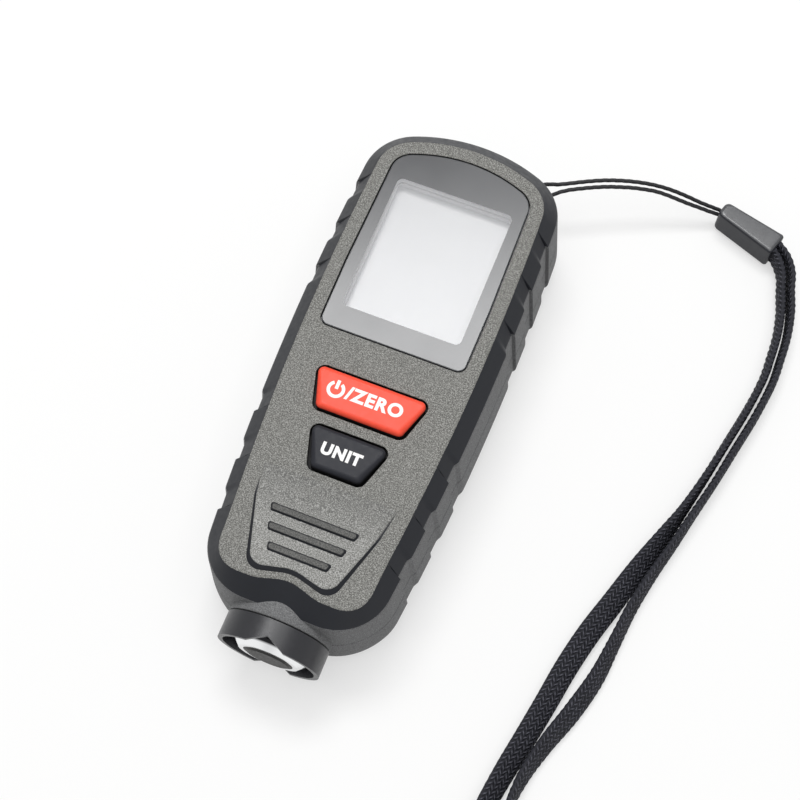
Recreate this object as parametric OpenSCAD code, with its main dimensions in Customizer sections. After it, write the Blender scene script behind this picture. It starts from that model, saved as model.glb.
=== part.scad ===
// Hand-held coating thickness gauge with a spring-loaded probe, two keys and a wrist strap.
// It lies on its back: +Z out of the face, +Y towards the strap end, the probe at -Y.

/* [Housing] */
// Length from the probe's tip to the strap end
overall_l = 116; // [108:0.5:130]
// Thickness from the back to the face
body_h = 26; // [25:0.5:32]
// Width across the shoulders, at the lower edge of the face's bevel
shoulder_w = 43.1; // [41:0.1:50]
// Height of the bevel round the face
bevel_h = 3.7; // [3:0.1:5]
// Run of the bevel along the sides
bevel_side = 3.2; // [2.5:0.1:3.6]
// Run of the bevel at the two ends
bevel_end = 3.9; // [3:0.1:4.5]
// Slope of the side walls, in degrees, widest near the back
draft = 5; // [1:0.5:7]
// Radius of the barrel curve along each side
side_r = 590; // [300:10:1500]
// Place of the barrel's widest point along the length
side_apex_y = 20; // [5:1:30]
// Radius of the arched strap end
top_r = 37; // [28:1:60]
// Radius of the two corners at the strap end
corner_r = 11.5; // [10:0.5:14]
// Radius of the two corners at the probe end
heel_r = 11; // [10:0.5:14]
// Height of the rounding along the back's edge
back_round_h = 7; // [5:0.5:9]
// Run of the rounding along the back's edge
back_round_w = 4.5; // [3:0.1:5]
// Wall of the two shells
wall = 1.8; // [1.4:0.1:2.2]
// Thickness of the front shell's face
roof_t = 2; // [1.8:0.1:2.4]
// Thickness of the rear shell's back
floor_t = 1.8; // [1.6:0.1:2.4]
// Chamfer along the seam between the shells
seam_chamfer = 0.25; // [0.1:0.05:0.4]
// Rise of the wave in the face's lower edge
face_wave = 1.6; // [0.5:0.1:2.5]

/* [Grip] */
// Depth of the grip notches
notch_d = 0.6; // [0.2:0.05:0.9]
// Length of one notch
notch_l = 5; // [3:0.25:7]
// Run of a notch's soft end
notch_ramp = 1.6; // [0.8:0.1:2.5]
// Run of a notch's sharp end
notch_step = 0.2; // [0.1:0.05:0.5]
// Distance from notch to notch
notch_pitch = 10.5; // [9:0.1:11]
// Notches in a group
notch_count = 3; // [1:1:3]
// Sharp end of the first upper notch
upper_notch_y = 39.4; // [37:0.1:40]
// Sharp end of the last lower notch
lower_notch_y = -36.6; // [-37:0.1:-33]
// Fall of a notch's edge from the face to the shoulder
notch_slant = 1; // [0:0.1:2]

/* [Display] */
// Width of the clear window
window_w = 24.5; // [20:0.1:26]
// Length of the clear window
window_l = 30.5; // [26:0.1:32]
// Middle of the window along the length
window_y = 26; // [24:0.1:27]
// Thickness of the lens
lens_t = 1.4; // [1:0.1:1.5]
// Face left around the lens
lens_margin = 2.7; // [2:0.1:3.5]
// Lower edge of the lens
lens_bottom_y = 5.1; // [4:0.1:7]
// Radius of the lens's lower corners
lens_corner_r = 2; // [1:0.1:4]
// Gap round the lens
lens_gap = 0.2; // [0.1:0.05:0.4]
// Thickness of the liquid crystal panel
panel_t = 2.6; // [1.8:0.1:3]
// Thickness of the backlight
backlight_t = 2.1; // [1.5:0.1:2.5]
// Lip of the display frame over the panel
frame_lip_t = 1; // [0.6:0.1:1.4]
// Wall of the display frame
frame_wall = 1.8; // [1.2:0.1:2]

/* [Keys] */
// Upper width of the zero key's opening
zero_top_w = 24.4; // [20:0.1:26]
// Lower width of the zero key's opening
zero_bottom_w = 18.8; // [15:0.1:22]
// Upper edge of the zero key's opening
zero_top_y = -2.7; // [-3.5:0.1:-1.5]
// Upper width of the unit key's opening
unit_top_w = 17.2; // [14:0.1:19]
// Lower width of the unit key's opening
unit_bottom_w = 11.2; // [9:0.1:13]
// Upper edge of the unit key's opening
unit_top_y = -14.4; // [-16:0.1:-14.2]
// Length of each key's opening
key_l = 9.5; // [8:0.1:10]
// Corner radius of the keys' openings
key_r = 1.8; // [1:0.1:2.5]
// Gap round a key
key_gap = 0.3; // [0.2:0.05:0.5]
// Height of a key above the face
key_rise = 1.1; // [0.6:0.1:1.5]
// Travel of a key
key_travel = 0.5; // [0.3:0.05:0.7]
// Rounding of a key's upper edge
key_edge = 0.6; // [0.3:0.1:0.9]

/* [Thumb pad] */
// Rise of the thumb pad at its lower edge
pad_h = 1.2; // [0.6:0.1:1.8]
// Half width of the thumb pad at its upper end
pad_half_w = 12.3; // [11:0.1:13]
// Upper end of the thumb pad
pad_top_y = -26.4; // [-28:0.1:-25.5]
// Lower end of the thumb pad
pad_bottom_y = -44.8; // [-45:0.1:-43]
// Width of the thumb pad's ribs
rib_w = 1.5; // [0.8:0.1:1.8]
// Height of the thumb pad's ribs
rib_h = 0.6; // [0.2:0.1:1]
// Distance from rib to rib
rib_pitch = 3.7; // [3:0.1:4.2]
// Place of the first rib
rib_y = -33.3; // [-35:0.1:-32]
// Length of the first rib
rib_l = 17.8; // [14:0.1:19]
// Slant of the ribs' ends
rib_slant = 0.5; // [0:0.1:0.8]

/* [Probe] */
// Radius of the probe's sleeve and of the housing's collar
sleeve_r = 10.4; // [9.8:0.1:11]
// Wall of the sleeve
sleeve_wall = 1; // [0.8:0.1:1.4]
// Length of the sleeve outside the housing
sleeve_l = 5.1; // [4:0.1:8]
// Gap line between the sleeve and the collar
sleeve_gap = 0.25; // [0.1:0.05:0.5]
// Depth of the notches that seat the sleeve on a rod
vee_d = 1.9; // [1:0.1:3]
// Width of those notches
vee_w = 7.6; // [4:0.1:10]
// Radius of the sleeve's plug inside the housing
plug_r = 8.8; // [8.4:0.1:9]
// Radius of the sprung measuring head
head_r = 6.3; // [5.5:0.1:6.5]
// Wall of the measuring head
head_wall = 1.2; // [0.9:0.1:1.5]
// Reach of the measuring tip past the sleeve
tip_proud = 0.4; // [0.2:0.05:0.8]
// Travel of the measuring head
head_travel = 1.5; // [0.8:0.1:2]
// Running clearance of the measuring head
head_clear = 0.08; // [0.05:0.01:0.1]
// Wire radius of the probe's spring
probe_wire_r = 0.4; // [0.3:0.05:0.5]
// Turns of the probe's spring
probe_turns = 6; // [4:1:7]

/* [Power] */
// Diameter of a cell
cell_d = 10.5; // [10:0.1:10.6]
// Length of a cell with its nub
cell_l = 44.5; // [43:0.1:44.6]
// Middle of the battery bay along the length
bay_y = 16; // [14:0.5:17]
// Thickness of the battery cover
cover_t = 1.6; // [1.2:0.1:1.8]
// Gap round the battery cover
cover_gap = 0.3; // [0.2:0.05:0.5]

/* [Strap] */
// Width of the braided wrist strap
strap_w = 5; // [4:0.1:6]
// Thickness of the braided wrist strap
strap_t = 1.8; // [1.4:0.1:1.9]
// Radius of the thin string
string_r = 0.45; // [0.3:0.05:0.5]
// Length of the ferrule
ferrule_l = 14.5; // [12:0.1:16]
// Height of the ferrule
ferrule_h = 6.6; // [6.4:0.1:8]

/* [Hidden] */
$fn = 48;
eps = 0.01;
// Small gap between pieces that are fitted together
seat = 0.1;

// Heights of the housing
face_z = body_h;
shoulder_z = face_z - bevel_h;
split_z = body_h / 2;
widest_z = back_round_h;
roof_z = face_z - roof_t;
function flare(z) = tan(draft) * (shoulder_z - z);

// Places along the length
tip_y = -overall_l / 2;
sleeve_y = tip_y + tip_proud;
collar_y = sleeve_y + sleeve_l + sleeve_gap;
heel_y = collar_y + 0.2 + flare(widest_z);
top_y = overall_l / 2 - flare(widest_z);

// Centres of the outline's arcs on the +X side, at the shoulder
side_c = [shoulder_w / 2 - side_r, side_apex_y];
top_c = [0, top_y - top_r];
corner_c = meet(top_c, top_r - corner_r, side_c, side_r - corner_r);
heel_c = [side_c[0] + sqrt(pow(side_r - heel_r, 2) - pow(heel_y + heel_r - side_apex_y, 2)), heel_y + heel_r];
corner_a = angle_to(top_c, corner_c);
side_a = angle_to(side_c, corner_c);
heel_a = angle_to(side_c, heel_c);

// Steps along the outline's arcs, outside and inside
top_steps = 6;
corner_steps = 9;
heel_steps = 8;
toe_steps = 5;
inner_steps = 5;
back_steps = 4;

// Upper crossing of two circles
function meet(a, ra, b, rb) =
    let (d = norm(b - a))
    let (k = (d * d + ra * ra - rb * rb) / (2 * d))
    let (h = sqrt(ra * ra - k * k))
    let (e = (b - a) / d)
    let (p = a + e * k + [e[1], -e[0]] * h)
    let (q = a + e * k - [e[1], -e[0]] * h)
    p[1] > q[1] ? p : q;
function angle_to(a, b) = atan2(b[1] - a[1], b[0] - a[0]);
function polar(c, r, a) = [c[0] + r * cos(a), c[1] + r * sin(a)];
function unit(v) = v / norm(v);
function flip(pts) = [for (i = [len(pts) - 1 : -1 : 0]) pts[i]];
function mirrored(pts) = [for (p = flip(pts)) [-p[0], p[1]]];

// Half width of the housing at one place along it
function half_w(y, inset) = side_c[0] + sqrt(pow(side_r - inset, 2) - pow(y - side_apex_y, 2));

// Each notch is four places along the side, with its share of the depth and of the slant at each
function notch(y, down) = down
    ? [[y, 0, 1], [y - notch_step, 1, 1], [y - notch_l + notch_ramp, 1, 1], [y - notch_l, 0, 1]]
    : [[y + notch_l, 0, 1], [y + notch_l - notch_ramp, 1, 1], [y + notch_step, 1, 1], [y, 0, 1]];
function upper_notches() = [for (i = [0 : notch_count - 1]) each notch(upper_notch_y - i * notch_pitch, true)];
function lower_notches() = [for (i = [notch_count - 1 : -1 : 0]) each notch(lower_notch_y + i * notch_pitch, false)];
function side_places() = concat(upper_notches(), [[5, 0, 0], [-5, 0, 0]], lower_notches());

// Right half of the housing's outline, from the strap end's middle down to the probe end's middle.
// The inset is one value along the sides and another at the ends; the inside is drawn with fewer points.
function half_outline(side_in, end_in, deep, wave, fine) =
    let (mix = function (a) side_in * pow(cos(a), 2) + end_in * pow(sin(a), 2))
    let (slant = (1 - deep) * notch_slant)
    let (top_n = fine ? top_steps : inner_steps)
    let (corner_n = fine ? corner_steps : inner_steps)
    let (heel_n = fine ? heel_steps : inner_steps)
    let (toe_n = fine ? toe_steps : 1)
    concat(
        [for (i = [0 : top_n - 1])
            let (a = 90 + (corner_a - 90) * i / top_n)
            polar(top_c, top_r - mix(a), a)],
        [for (i = [0 : corner_n])
            let (a = corner_a + (side_a - corner_a) * i / corner_n)
            polar(corner_c, corner_r - mix(a), a)],
        [for (p = fine ? side_places() : [[side_apex_y, 0, 0], [0, 0, 0], [-side_apex_y, 0, 0]])
            [half_w(p[0], side_in + deep * p[1] * notch_d), p[0] + p[2] * slant]],
        [for (i = [0 : heel_n])
            let (a = heel_a + (-90 - heel_a) * i / heel_n)
            polar(heel_c, heel_r - mix(a), a)],
        [for (i = [1 : toe_n])
            let (x = heel_c[0] * (1 - i / toe_n))
            [x, heel_y + end_in + wave * (1 + cos(180 * x / heel_c[0])) / 2]]);
function both_halves(half) = flip(concat(half, [for (p = mirrored(half)) if (abs(p[0]) > eps) p]));
function ring(z, side_in, end_in, deep, wave) = at_z(both_halves(half_outline(side_in, end_in, deep, wave, true)), z);
function even_ring(z, inset) = ring(z, inset, inset, 1, 0);
function inner_ring(z, side_in, end_in) = at_z(both_halves(half_outline(side_in, end_in, 0, 0, false)), z);

// Solid through a stack of outlines with equally many points, lowest first.
// A notched outline is closed in rungs from side to side, any other from its first point.
module loft(rings, low_rungs = false, high_rungs = false) {
    n = len(rings[0]);
    last = len(rings) - 1;
    sides = [for (k = [0 : last - 1]) for (i = [0 : n - 1])
        let (j = (i + 1) % n)
        each [[k * n + i, (k + 1) * n + j, k * n + j], [k * n + i, (k + 1) * n + i, (k + 1) * n + j]]];
    low_end = low_rungs ? rungs(n, 0) : [[for (i = [0 : n - 1]) i]];
    high_end = high_rungs ? rungs(n, last * n) : [[for (i = [0 : n - 1]) last * n + i]];
    polyhedron([for (r = rings) each r], concat(sides, low_end, [for (f = high_end) flip(f)]));
}
function rungs(n, first) =
    let (low = n / 2 - 2 - toe_steps)
    concat(
        [[first + n - 1, first, first + n - 2], [for (i = [low : n - 2 - low]) first + i]],
        [for (i = [0 : low - 1]) each [
            [first + i, first + i + 1, first + n - 3 - i], [first + i, first + n - 3 - i, first + n - 2 - i]]]);

// Polygon with each corner rounded by its own radius
function rounded(pts, radii, steps = 6) = [for (i = [0 : len(pts) - 1])
    let (n = len(pts))
    each fillet(pts[(i + n - 1) % n], pts[i], pts[(i + 1) % n], radii[i], steps)];
function fillet(a, p, b, r, steps) = r <= 0 ? [p] :
    let (u = unit(a - p))
    let (v = unit(b - p))
    let (half = acos(u * v) / 2)
    let (c = p + unit(u + v) * r / sin(half))
    let (a0 = angle_to(c, p + u * r / tan(half)))
    let (turn = angle_to(c, p + v * r / tan(half)) - a0)
    let (sweep = turn > 180 ? turn - 360 : turn < -180 ? turn + 360 : turn)
    [for (i = [0 : steps]) polar(c, r, a0 + sweep * i / steps)];
function at_z(pts, z) = [for (p = pts) [p[0], p[1], z]];
module plate(pts, z0, z1) {
    translate([0, 0, z0]) linear_extrude(z1 - z0) polygon(pts);
}
module block(x0, x1, y0, y1, z0, z1) {
    translate([x0, y0, z0]) cube([x1 - x0, y1 - y0, z1 - z0]);
}
// Round bar or bore along the length, on the probe's axis
module along_y(r, y0, y1) {
    translate([0, y0, split_z]) rotate([-90, 0, 0]) cylinder(r = r, h = y1 - y0);
}
// Turned solid on the probe's axis, from points of radius and place along the length
module turned(profile) {
    translate([0, 0, split_z]) rotate([-90, 0, 0]) rotate_extrude() polygon(profile);
}
module mirror_x() {
    children();
    mirror([1, 0, 0]) children();
}

// Tube along a row of ring centres, each with its two section axes
module tube(centres, axes_u, axes_v, sides) {
    n = len(centres);
    pts = [for (i = [0 : n - 1]) for (k = [0 : sides - 1])
        centres[i] + axes_u[i] * cos(360 * k / sides) + axes_v[i] * sin(360 * k / sides)];
    skin = [for (i = [0 : n - 2]) for (k = [0 : sides - 1])
        let (m = (k + 1) % sides)
        each [[i * sides + k, (i + 1) * sides + m, (i + 1) * sides + k],
            [i * sides + k, i * sides + m, (i + 1) * sides + m]]];
    first = [for (k = [sides - 1 : -1 : 0]) k];
    final = [for (k = [0 : sides - 1]) (n - 1) * sides + k];
    polyhedron(pts, concat(skin, [first, final]));
}
// Coil spring along +Y from its own origin
module coil(r0, r1, length, turns, wire_r) {
    per_turn = 14;
    n = turns * per_turn;
    angles = [for (i = [0 : n]) 360 * i / per_turn];
    out = [for (a = angles) [cos(a), 0, sin(a)]];
    centres = [for (i = [0 : n])
        out[i] * (r0 + (r1 - r0) * i / n) + [0, wire_r + (length - 2 * wire_r) * i / n, 0]];
    tube(centres, [for (o = out) o * wire_r], [for (o = out) [0, -wire_r, 0]], 6);
}

// The two shells' outer and inner forms
module front_outer() {
    loft([
        even_ring(split_z, seam_chamfer - flare(split_z)),
        even_ring(split_z + seam_chamfer, -flare(split_z + seam_chamfer)),
        even_ring(shoulder_z, 0),
        ring(face_z, bevel_side, bevel_end, 0, face_wave)], low_rungs = true);
}
module front_inner() {
    slope = 1 - roof_t / bevel_h;
    low_z = split_z - 1;
    loft([
        inner_ring(low_z, wall - flare(low_z), wall - flare(low_z)),
        inner_ring(shoulder_z - 0.5 * wall, wall, wall),
        inner_ring(roof_z, bevel_side * slope + 1.35 * wall, bevel_end * slope + 1.35 * wall)]);
}
module rear_outer() {
    loft(concat(
        [for (i = [0 : back_steps])
            let (a = 90 * (1 - i / back_steps))
            let (inset = back_round_w * (1 - cos(a)) - flare(widest_z))
            ring(widest_z * (1 - sin(a)), inset, inset, 1 - sin(a), 0)],
        [even_ring(split_z - seam_chamfer, -flare(split_z - seam_chamfer)),
        even_ring(split_z, seam_chamfer - flare(split_z))]), low_rungs = true, high_rungs = true);
}
module rear_inner() {
    low_in = back_round_w + 0.4 * wall - flare(widest_z);
    mid_in = 0.3 * back_round_w + wall - flare(widest_z);
    high_z = split_z + 1;
    loft([
        inner_ring(floor_t, low_in, low_in),
        inner_ring(widest_z * 0.5, mid_in, mid_in),
        inner_ring(widest_z, wall - flare(widest_z), wall - flare(widest_z)),
        inner_ring(high_z, wall - flare(high_z), wall - flare(high_z))]);
}

// Screws: places, and radii shared by the screw, its post and its hole
case_spots = [[6.5, 49.8], [12.9, -36]];
board_spots = [[14, 48], [14.8, 2.2], [12.5, -25]];
screw_r = 1.1;
screw_head_r = 2.1;
screw_head_h = 1.6;
counterbore_r = screw_head_r + 0.3;
counterbore_h = 5;
case_post_r = counterbore_r + 0.8;
case_boss_r = 2.6;
screw_reach = 6;
pin_screw_r = 0.7;
pin_screw_head_r = 1.6;
board_post_r = 2;
board_reach = 3.5;
module at_spots(spots) {
    for (p = spots) mirror_x() translate([p[0], p[1], 0]) children();
}

// Display stack, from the lens down to the board
lens_ledge = roof_t - lens_t;
frame_z = roof_z - seat;
panel_z = frame_z - frame_lip_t - seat / 2;
backlight_z = panel_z - panel_t - seat;
standoff = 0.8;
board_z = backlight_z - backlight_t - standoff;
board_t = 1.6;
window_over = 0.5;
panel_over_x = 1.6;
panel_over_y = 2.6;
panel_hx = window_w / 2 + panel_over_x;
panel_hy = window_l / 2 + panel_over_y;
frame_hx = panel_hx + seat + frame_wall;
frame_hy = panel_hy + seat + frame_wall - 0.6;

// Outline of the lens, taken from the face's own outline
function lens_outline(grow) =
    let (side_in = bevel_side + lens_margin - grow)
    let (low = lens_bottom_y - grow)
    let (edge = half_outline(side_in, bevel_end + lens_margin - grow, 0, 0, true))
    let (arch = [for (p = edge) if (p[1] > upper_notch_y) p])
    let (middle = [half_w(side_apex_y, side_in), side_apex_y])
    let (corner = [half_w(low, side_in), low])
    let (half = concat(arch, [middle], fillet(middle, corner, [0, low], lens_corner_r + grow, 6)))
    both_halves(half);
function box_outline(hx, hy, cy, r) =
    rounded([[-hx, cy - hy], [hx, cy - hy], [hx, cy + hy], [-hx, cy + hy]], [r, r, r, r]);

// Outline of a key, shrunk by a gap
function key_outline(top_w, bottom_w, top, gap) =
    rounded([[-bottom_w / 2 + gap, top - key_l + gap], [bottom_w / 2 - gap, top - key_l + gap],
        [top_w / 2 - gap, top - gap], [-top_w / 2 + gap, top - gap]],
        [for (i = [0 : 3]) max(key_r - gap, 0.3)]);
function zero_outline(gap) = key_outline(zero_top_w, zero_bottom_w, zero_top_y, gap);
function unit_outline(gap) = key_outline(unit_top_w, unit_bottom_w, unit_top_y, gap);

// Thumb pad: a shield whose surface climbs from the face towards the probe
function pad_rise(y) = pad_h * (pad_top_y - y) / (pad_top_y - pad_bottom_y) - 0.05;
function pad_outline(shrink) =
    let (mid_y = (pad_top_y + pad_bottom_y) / 2)
    let (low_w = 0.66 * pad_half_w)
    let (half = [[low_w, pad_bottom_y - 0.4], [pad_half_w, mid_y + 3.4], [pad_half_w, pad_top_y]])
    let (pts = concat(half, [for (p = flip(half)) [-p[0], p[1]]], [[0, pad_bottom_y + 1.6]]))
    let (shape = rounded(pts, [2, 12, 0.3, 0.3, 12, 2, 7]))
    [for (p = shape) [p[0] * (1 - shrink / pad_half_w), mid_y + (p[1] - mid_y) * (1 - shrink / 9)]];
pad_edge = 0.45;
module thumb_pad() {
    loft([
        at_z(pad_outline(0), roof_z + 0.5),
        [for (p = pad_outline(0)) [p[0], p[1], face_z + pad_rise(p[1]) - pad_edge]],
        [for (p = pad_outline(pad_edge)) [p[0], p[1], face_z + pad_rise(p[1])]]]);
}
// Raised bar across the pad, with slanted ends
module rib(y, length) {
    near = y - rib_w / 2;
    far = y + rib_w / 2;
    half = length / 2;
    short = half - rib_slant;
    bar = rounded([[-short, near], [short, near], [half, far], [-half, far]], [0.3, 0.3, 0.3, 0.3], 3);
    plate(bar, face_z - roof_t / 2, face_z + pad_rise(y) + rib_h);
}
module ribs() {
    shorter = [0, 2, 5];
    for (i = [0 : 2]) rib(rib_y - i * rib_pitch, rib_l - shorter[i]);
}

// Probe: places along its axis
plug_end_y = collar_y + 5.8;
holder_y = plug_end_y + 0.2;
holder_r = plug_r + 0.6;
holder_wall = 1.4;
holder_l = 14.5;
holder_end_y = holder_y + holder_l;
flange_r = holder_r - holder_wall - 0.4;
flange_t = 1.2;
flange_y = plug_end_y + 0.2;
guide_r = head_r + head_clear + 0.5;
head_bore_r = head_r - head_wall;
cradle_w = 1.5;
cradle_spots = [holder_y + 2, holder_end_y - 2];
// Ribs that clamp the probe's holder, up to a given height
module cradles(z0, z1) {
    for (y = cradle_spots)
        block(-holder_r - 3, holder_r + 3, y - cradle_w / 2, y + cradle_w / 2, z0, z1);
}
module probe_bores() {
    along_y(plug_r + seat, collar_y - 1, plug_end_y + 0.1);
    along_y(holder_r + seat, plug_end_y, holder_end_y + 0.2);
}

// Seat of the lens, window under it and openings of the keys
module face_openings() {
    plate(lens_outline(0), face_z - lens_t, face_z + 1);
    plate(box_outline(window_w / 2 + window_over, window_l / 2 + window_over, window_y, 1), roof_z - 1, face_z);
    plate(zero_outline(0), roof_z - 1, face_z + 1);
    plate(unit_outline(0), roof_z - 1, face_z + 1);
}

module front_shell() {
    color("dimgray") difference() {
        union() {
            difference() {
                front_outer();
                front_inner();
                face_openings();
            }
            thumb_pad();
            ribs();
            intersection() {
                along_y(sleeve_r, collar_y, plug_end_y);
                block(-20, 20, collar_y - 1, 0, split_z, face_z);
            }
            cradles(split_z, roof_z + 0.3);
            at_spots(case_spots) translate([0, 0, split_z]) cylinder(r = case_boss_r, h = roof_z - split_z + 0.3);
            at_spots(board_spots) translate([0, 0, board_z]) cylinder(r = board_post_r, h = roof_z - board_z + 0.3);
        }
        probe_bores();
        at_spots(case_spots)
            translate([0, 0, split_z - 1]) cylinder(r = screw_r + 0.05, h = screw_reach + 1.5);
        at_spots(board_spots)
            translate([0, 0, board_z - 1]) cylinder(r = pin_screw_r + 0.05, h = board_reach + 1.5);
    }
}

// Battery bay in the rear shell
cell_gap = 0.5;
cell_x = cell_d / 2 + cell_gap / 2;
cell_z = 0.2 + cover_t + 0.3 + cell_d / 2;
bay_hx = cell_d + cell_gap;
bay_hy = cell_l / 2 + 2.75;
bay_wall = 2.4;
bay_top_z = cell_z + cell_d / 2 + 0.2;
contact_t = 0.4;
contact_reach = 3.2;
nub_reach = 0.6;
bay_low_y = bay_y - bay_hy;
bay_high_y = bay_y + bay_hy;
cover_hx = bay_hx + 1.2;
cover_low_y = bay_low_y - 1.2;
cover_high_y = bay_high_y + 1.2;
cover_z = 0.2;
tongue_x = 7;
tongue_w = 4;
tongue_l = 1.8;
tongue_t = 1;
// Hinge line of the battery cover, on its outer face at the strap end
cover_hinge = [0, cover_high_y, cover_z];
// Lanyard holes through the strap end's wall
lanyard_x = [11.3, 14.8];
lanyard_z = 9.5;
lanyard_r = 1.1;

module rear_shell() {
    color("dimgray") difference() {
        union() {
            difference() {
                rear_outer();
                rear_inner();
            }
            difference() {
                block(-bay_hx - bay_wall, bay_hx + bay_wall, bay_low_y - bay_wall, bay_high_y + bay_wall,
                    floor_t - 0.2, bay_top_z);
                block(-bay_hx, bay_hx, bay_low_y, bay_high_y, 0, bay_top_z + 1);
            }
            intersection() {
                along_y(sleeve_r, collar_y, plug_end_y);
                block(-20, 20, collar_y - 1, 0, 0, split_z);
            }
            cradles(floor_t - 0.2, split_z);
            at_spots(case_spots) translate([0, 0, floor_t - 0.2]) cylinder(r = case_post_r, h = split_z - floor_t + 0.2);
        }
        block(-cover_hx - cover_gap, cover_hx + cover_gap, cover_low_y - cover_gap, cover_high_y + cover_gap,
            -1, floor_t + eps);
        mirror_x() block(tongue_x - tongue_w / 2 - 0.4, tongue_x + tongue_w / 2 + 0.4, bay_high_y - 1,
            cover_high_y + tongue_l + 0.8, floor_t, floor_t + 2.6);
        translate([0, cover_low_y - cover_gap, -9.2]) sphere(r = 10);
        probe_bores();
        at_spots(case_spots) {
            translate([0, 0, -1]) cylinder(r = counterbore_r, h = counterbore_h + 1);
            cylinder(r = screw_r + 0.2, h = split_z + 1);
        }
        for (x = lanyard_x)
            translate([x, top_y - 8, lanyard_z]) rotate([-90, 0, 0]) cylinder(r = lanyard_r, h = 14);
    }
}

module battery_cover() {
    color("dimgray") {
        difference() {
            block(-cover_hx, cover_hx, cover_low_y, cover_high_y, cover_z, cover_z + cover_t);
            for (i = [0 : 3])
                block(-5, 5, cover_low_y + 5 + i * 2, cover_low_y + 6 + i * 2, 0, cover_z + 0.5);
        }
        mirror_x() block(tongue_x - tongue_w / 2, tongue_x + tongue_w / 2, cover_high_y - 0.8, cover_high_y,
            cover_z + cover_t - eps, floor_t + 0.2 + tongue_t);
        mirror_x() block(tongue_x - tongue_w / 2, tongue_x + tongue_w / 2, cover_high_y - eps,
            cover_high_y + tongue_l, floor_t + 0.2, floor_t + 0.2 + tongue_t);
    }
}

module display_lens() {
    color("slategray") plate(lens_outline(-lens_gap), face_z - lens_t, face_z - 0.05);
}
module lcd_panel() {
    color("gainsboro") plate(box_outline(panel_hx, panel_hy, window_y, 0.4), panel_z - panel_t, panel_z);
}
module lcd_backlight() {
    color("whitesmoke") block(-panel_hx + 1, panel_hx - 1, window_y - panel_hy + 4, window_y + panel_hy - 1,
        backlight_z - backlight_t, backlight_z);
}
module lcd_frame() {
    color("lightgray") difference() {
        plate(box_outline(frame_hx, frame_hy, window_y, 1), board_z, frame_z);
        plate(box_outline(panel_hx + seat, panel_hy + seat, window_y, 0.5), board_z - 1, frame_z - frame_lip_t);
        plate(box_outline(window_w / 2 + 0.1, window_l / 2 + 0.1, window_y, 0.8), board_z, frame_z + 1);
    }
}
module zebra_strip() {
    color("dimgray") block(-window_w / 2, window_w / 2, window_y - panel_hy + 0.6, window_y - panel_hy + 2.6,
        board_z, panel_z - panel_t);
}

module main_board() {
    edge = both_halves(half_outline(wall + 1.2, wall + 1.2, 0, 0, false));
    color("darkgreen") difference() {
        intersection() {
            plate(edge, board_z - board_t, board_z);
            block(-30, 30, board_spots[2][1] - 3, case_spots[0][1] + 1.2, 0, face_z);
        }
        at_spots([case_spots[0]]) translate([0, 0, 0]) cylinder(r = case_boss_r + 0.4, h = face_z);
        at_spots(board_spots) cylinder(r = pin_screw_r + 0.2, h = face_z);
    }
}
module controller_chip() {
    color("black") block(-5, 5, window_y - 9, window_y + 1, board_z - board_t - 1.4, board_z - board_t);
}

// Keys: a cap through the face, a flange behind it and a plunger over its switch
key_flange = 0.9;
key_flange_t = 1.1;
switch_w = 6;
switch_h = 3.7;
stem_h = 0.4;
stem_r = 1.7;
flange_top_z = roof_z - key_gap;
module key_cap(shape, flange, centre_y) {
    top_z = face_z + key_rise;
    loft([
        at_z(shape[0], flange_top_z - 0.2),
        at_z(shape[0], top_z - key_edge),
        at_z(shape[1], top_z - 0.3 * key_edge),
        at_z(shape[2], top_z)]);
    plate(flange, flange_top_z - key_flange_t, flange_top_z);
    translate([0, centre_y, board_z + switch_h + stem_h + key_travel + seat])
        cylinder(r = stem_r, h = flange_top_z - key_flange_t / 2 - board_z - switch_h - stem_h - key_travel - seat);
}
module zero_button() {
    shape = [zero_outline(key_gap), zero_outline(key_gap + 0.3 * key_edge), zero_outline(key_gap + key_edge)];
    color("tomato") key_cap(shape, zero_outline(-key_flange), zero_top_y - key_l / 2);
}
module unit_button() {
    shape = [unit_outline(key_gap), unit_outline(key_gap + 0.3 * key_edge), unit_outline(key_gap + key_edge)];
    color("darkslategray") key_cap(shape, unit_outline(-key_flange), unit_top_y - key_l / 2);
}
module tact_switch(y) {
    color("black") block(-switch_w / 2, switch_w / 2, y - switch_w / 2, y + switch_w / 2, board_z, board_z + switch_h);
    color("black") translate([0, y, board_z + switch_h - eps]) cylinder(r = stem_r, h = stem_h + eps);
}
module zero_switch() {
    tact_switch(zero_top_y - key_l / 2);
}
module unit_switch() {
    tact_switch(unit_top_y - key_l / 2);
}

module probe_sleeve() {
    cup_y = collar_y - sleeve_gap - 1.1;
    color("black") difference() {
        turned([
            [sleeve_r - sleeve_wall, sleeve_y], [sleeve_r, sleeve_y], [sleeve_r, collar_y - sleeve_gap],
            [plug_r, collar_y - sleeve_gap], [plug_r, plug_end_y], [guide_r + seat / 2, plug_end_y],
            [guide_r + seat / 2, cup_y], [sleeve_r - sleeve_wall, cup_y]]);
        translate([0, 0, split_z - 20]) linear_extrude(40)
            polygon([[-vee_w / 2 - vee_w, sleeve_y - 2 * vee_d], [vee_w / 2 + vee_w, sleeve_y - 2 * vee_d],
                [0, sleeve_y + vee_d]]);
    }
}
module probe_guide() {
    color("peru") turned([
        [head_r + head_clear, collar_y - 1], [guide_r, collar_y - 1],
        [guide_r, plug_end_y], [head_r + head_clear, plug_end_y]]);
}
module probe_holder() {
    color("gray") turned([
        [holder_r - holder_wall, holder_y], [holder_r, holder_y], [holder_r, holder_end_y],
        [2, holder_end_y], [2, holder_end_y - 1.2], [holder_r - holder_wall, holder_end_y - 1.2]]);
}
head_y = tip_y + 0.3;
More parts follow.
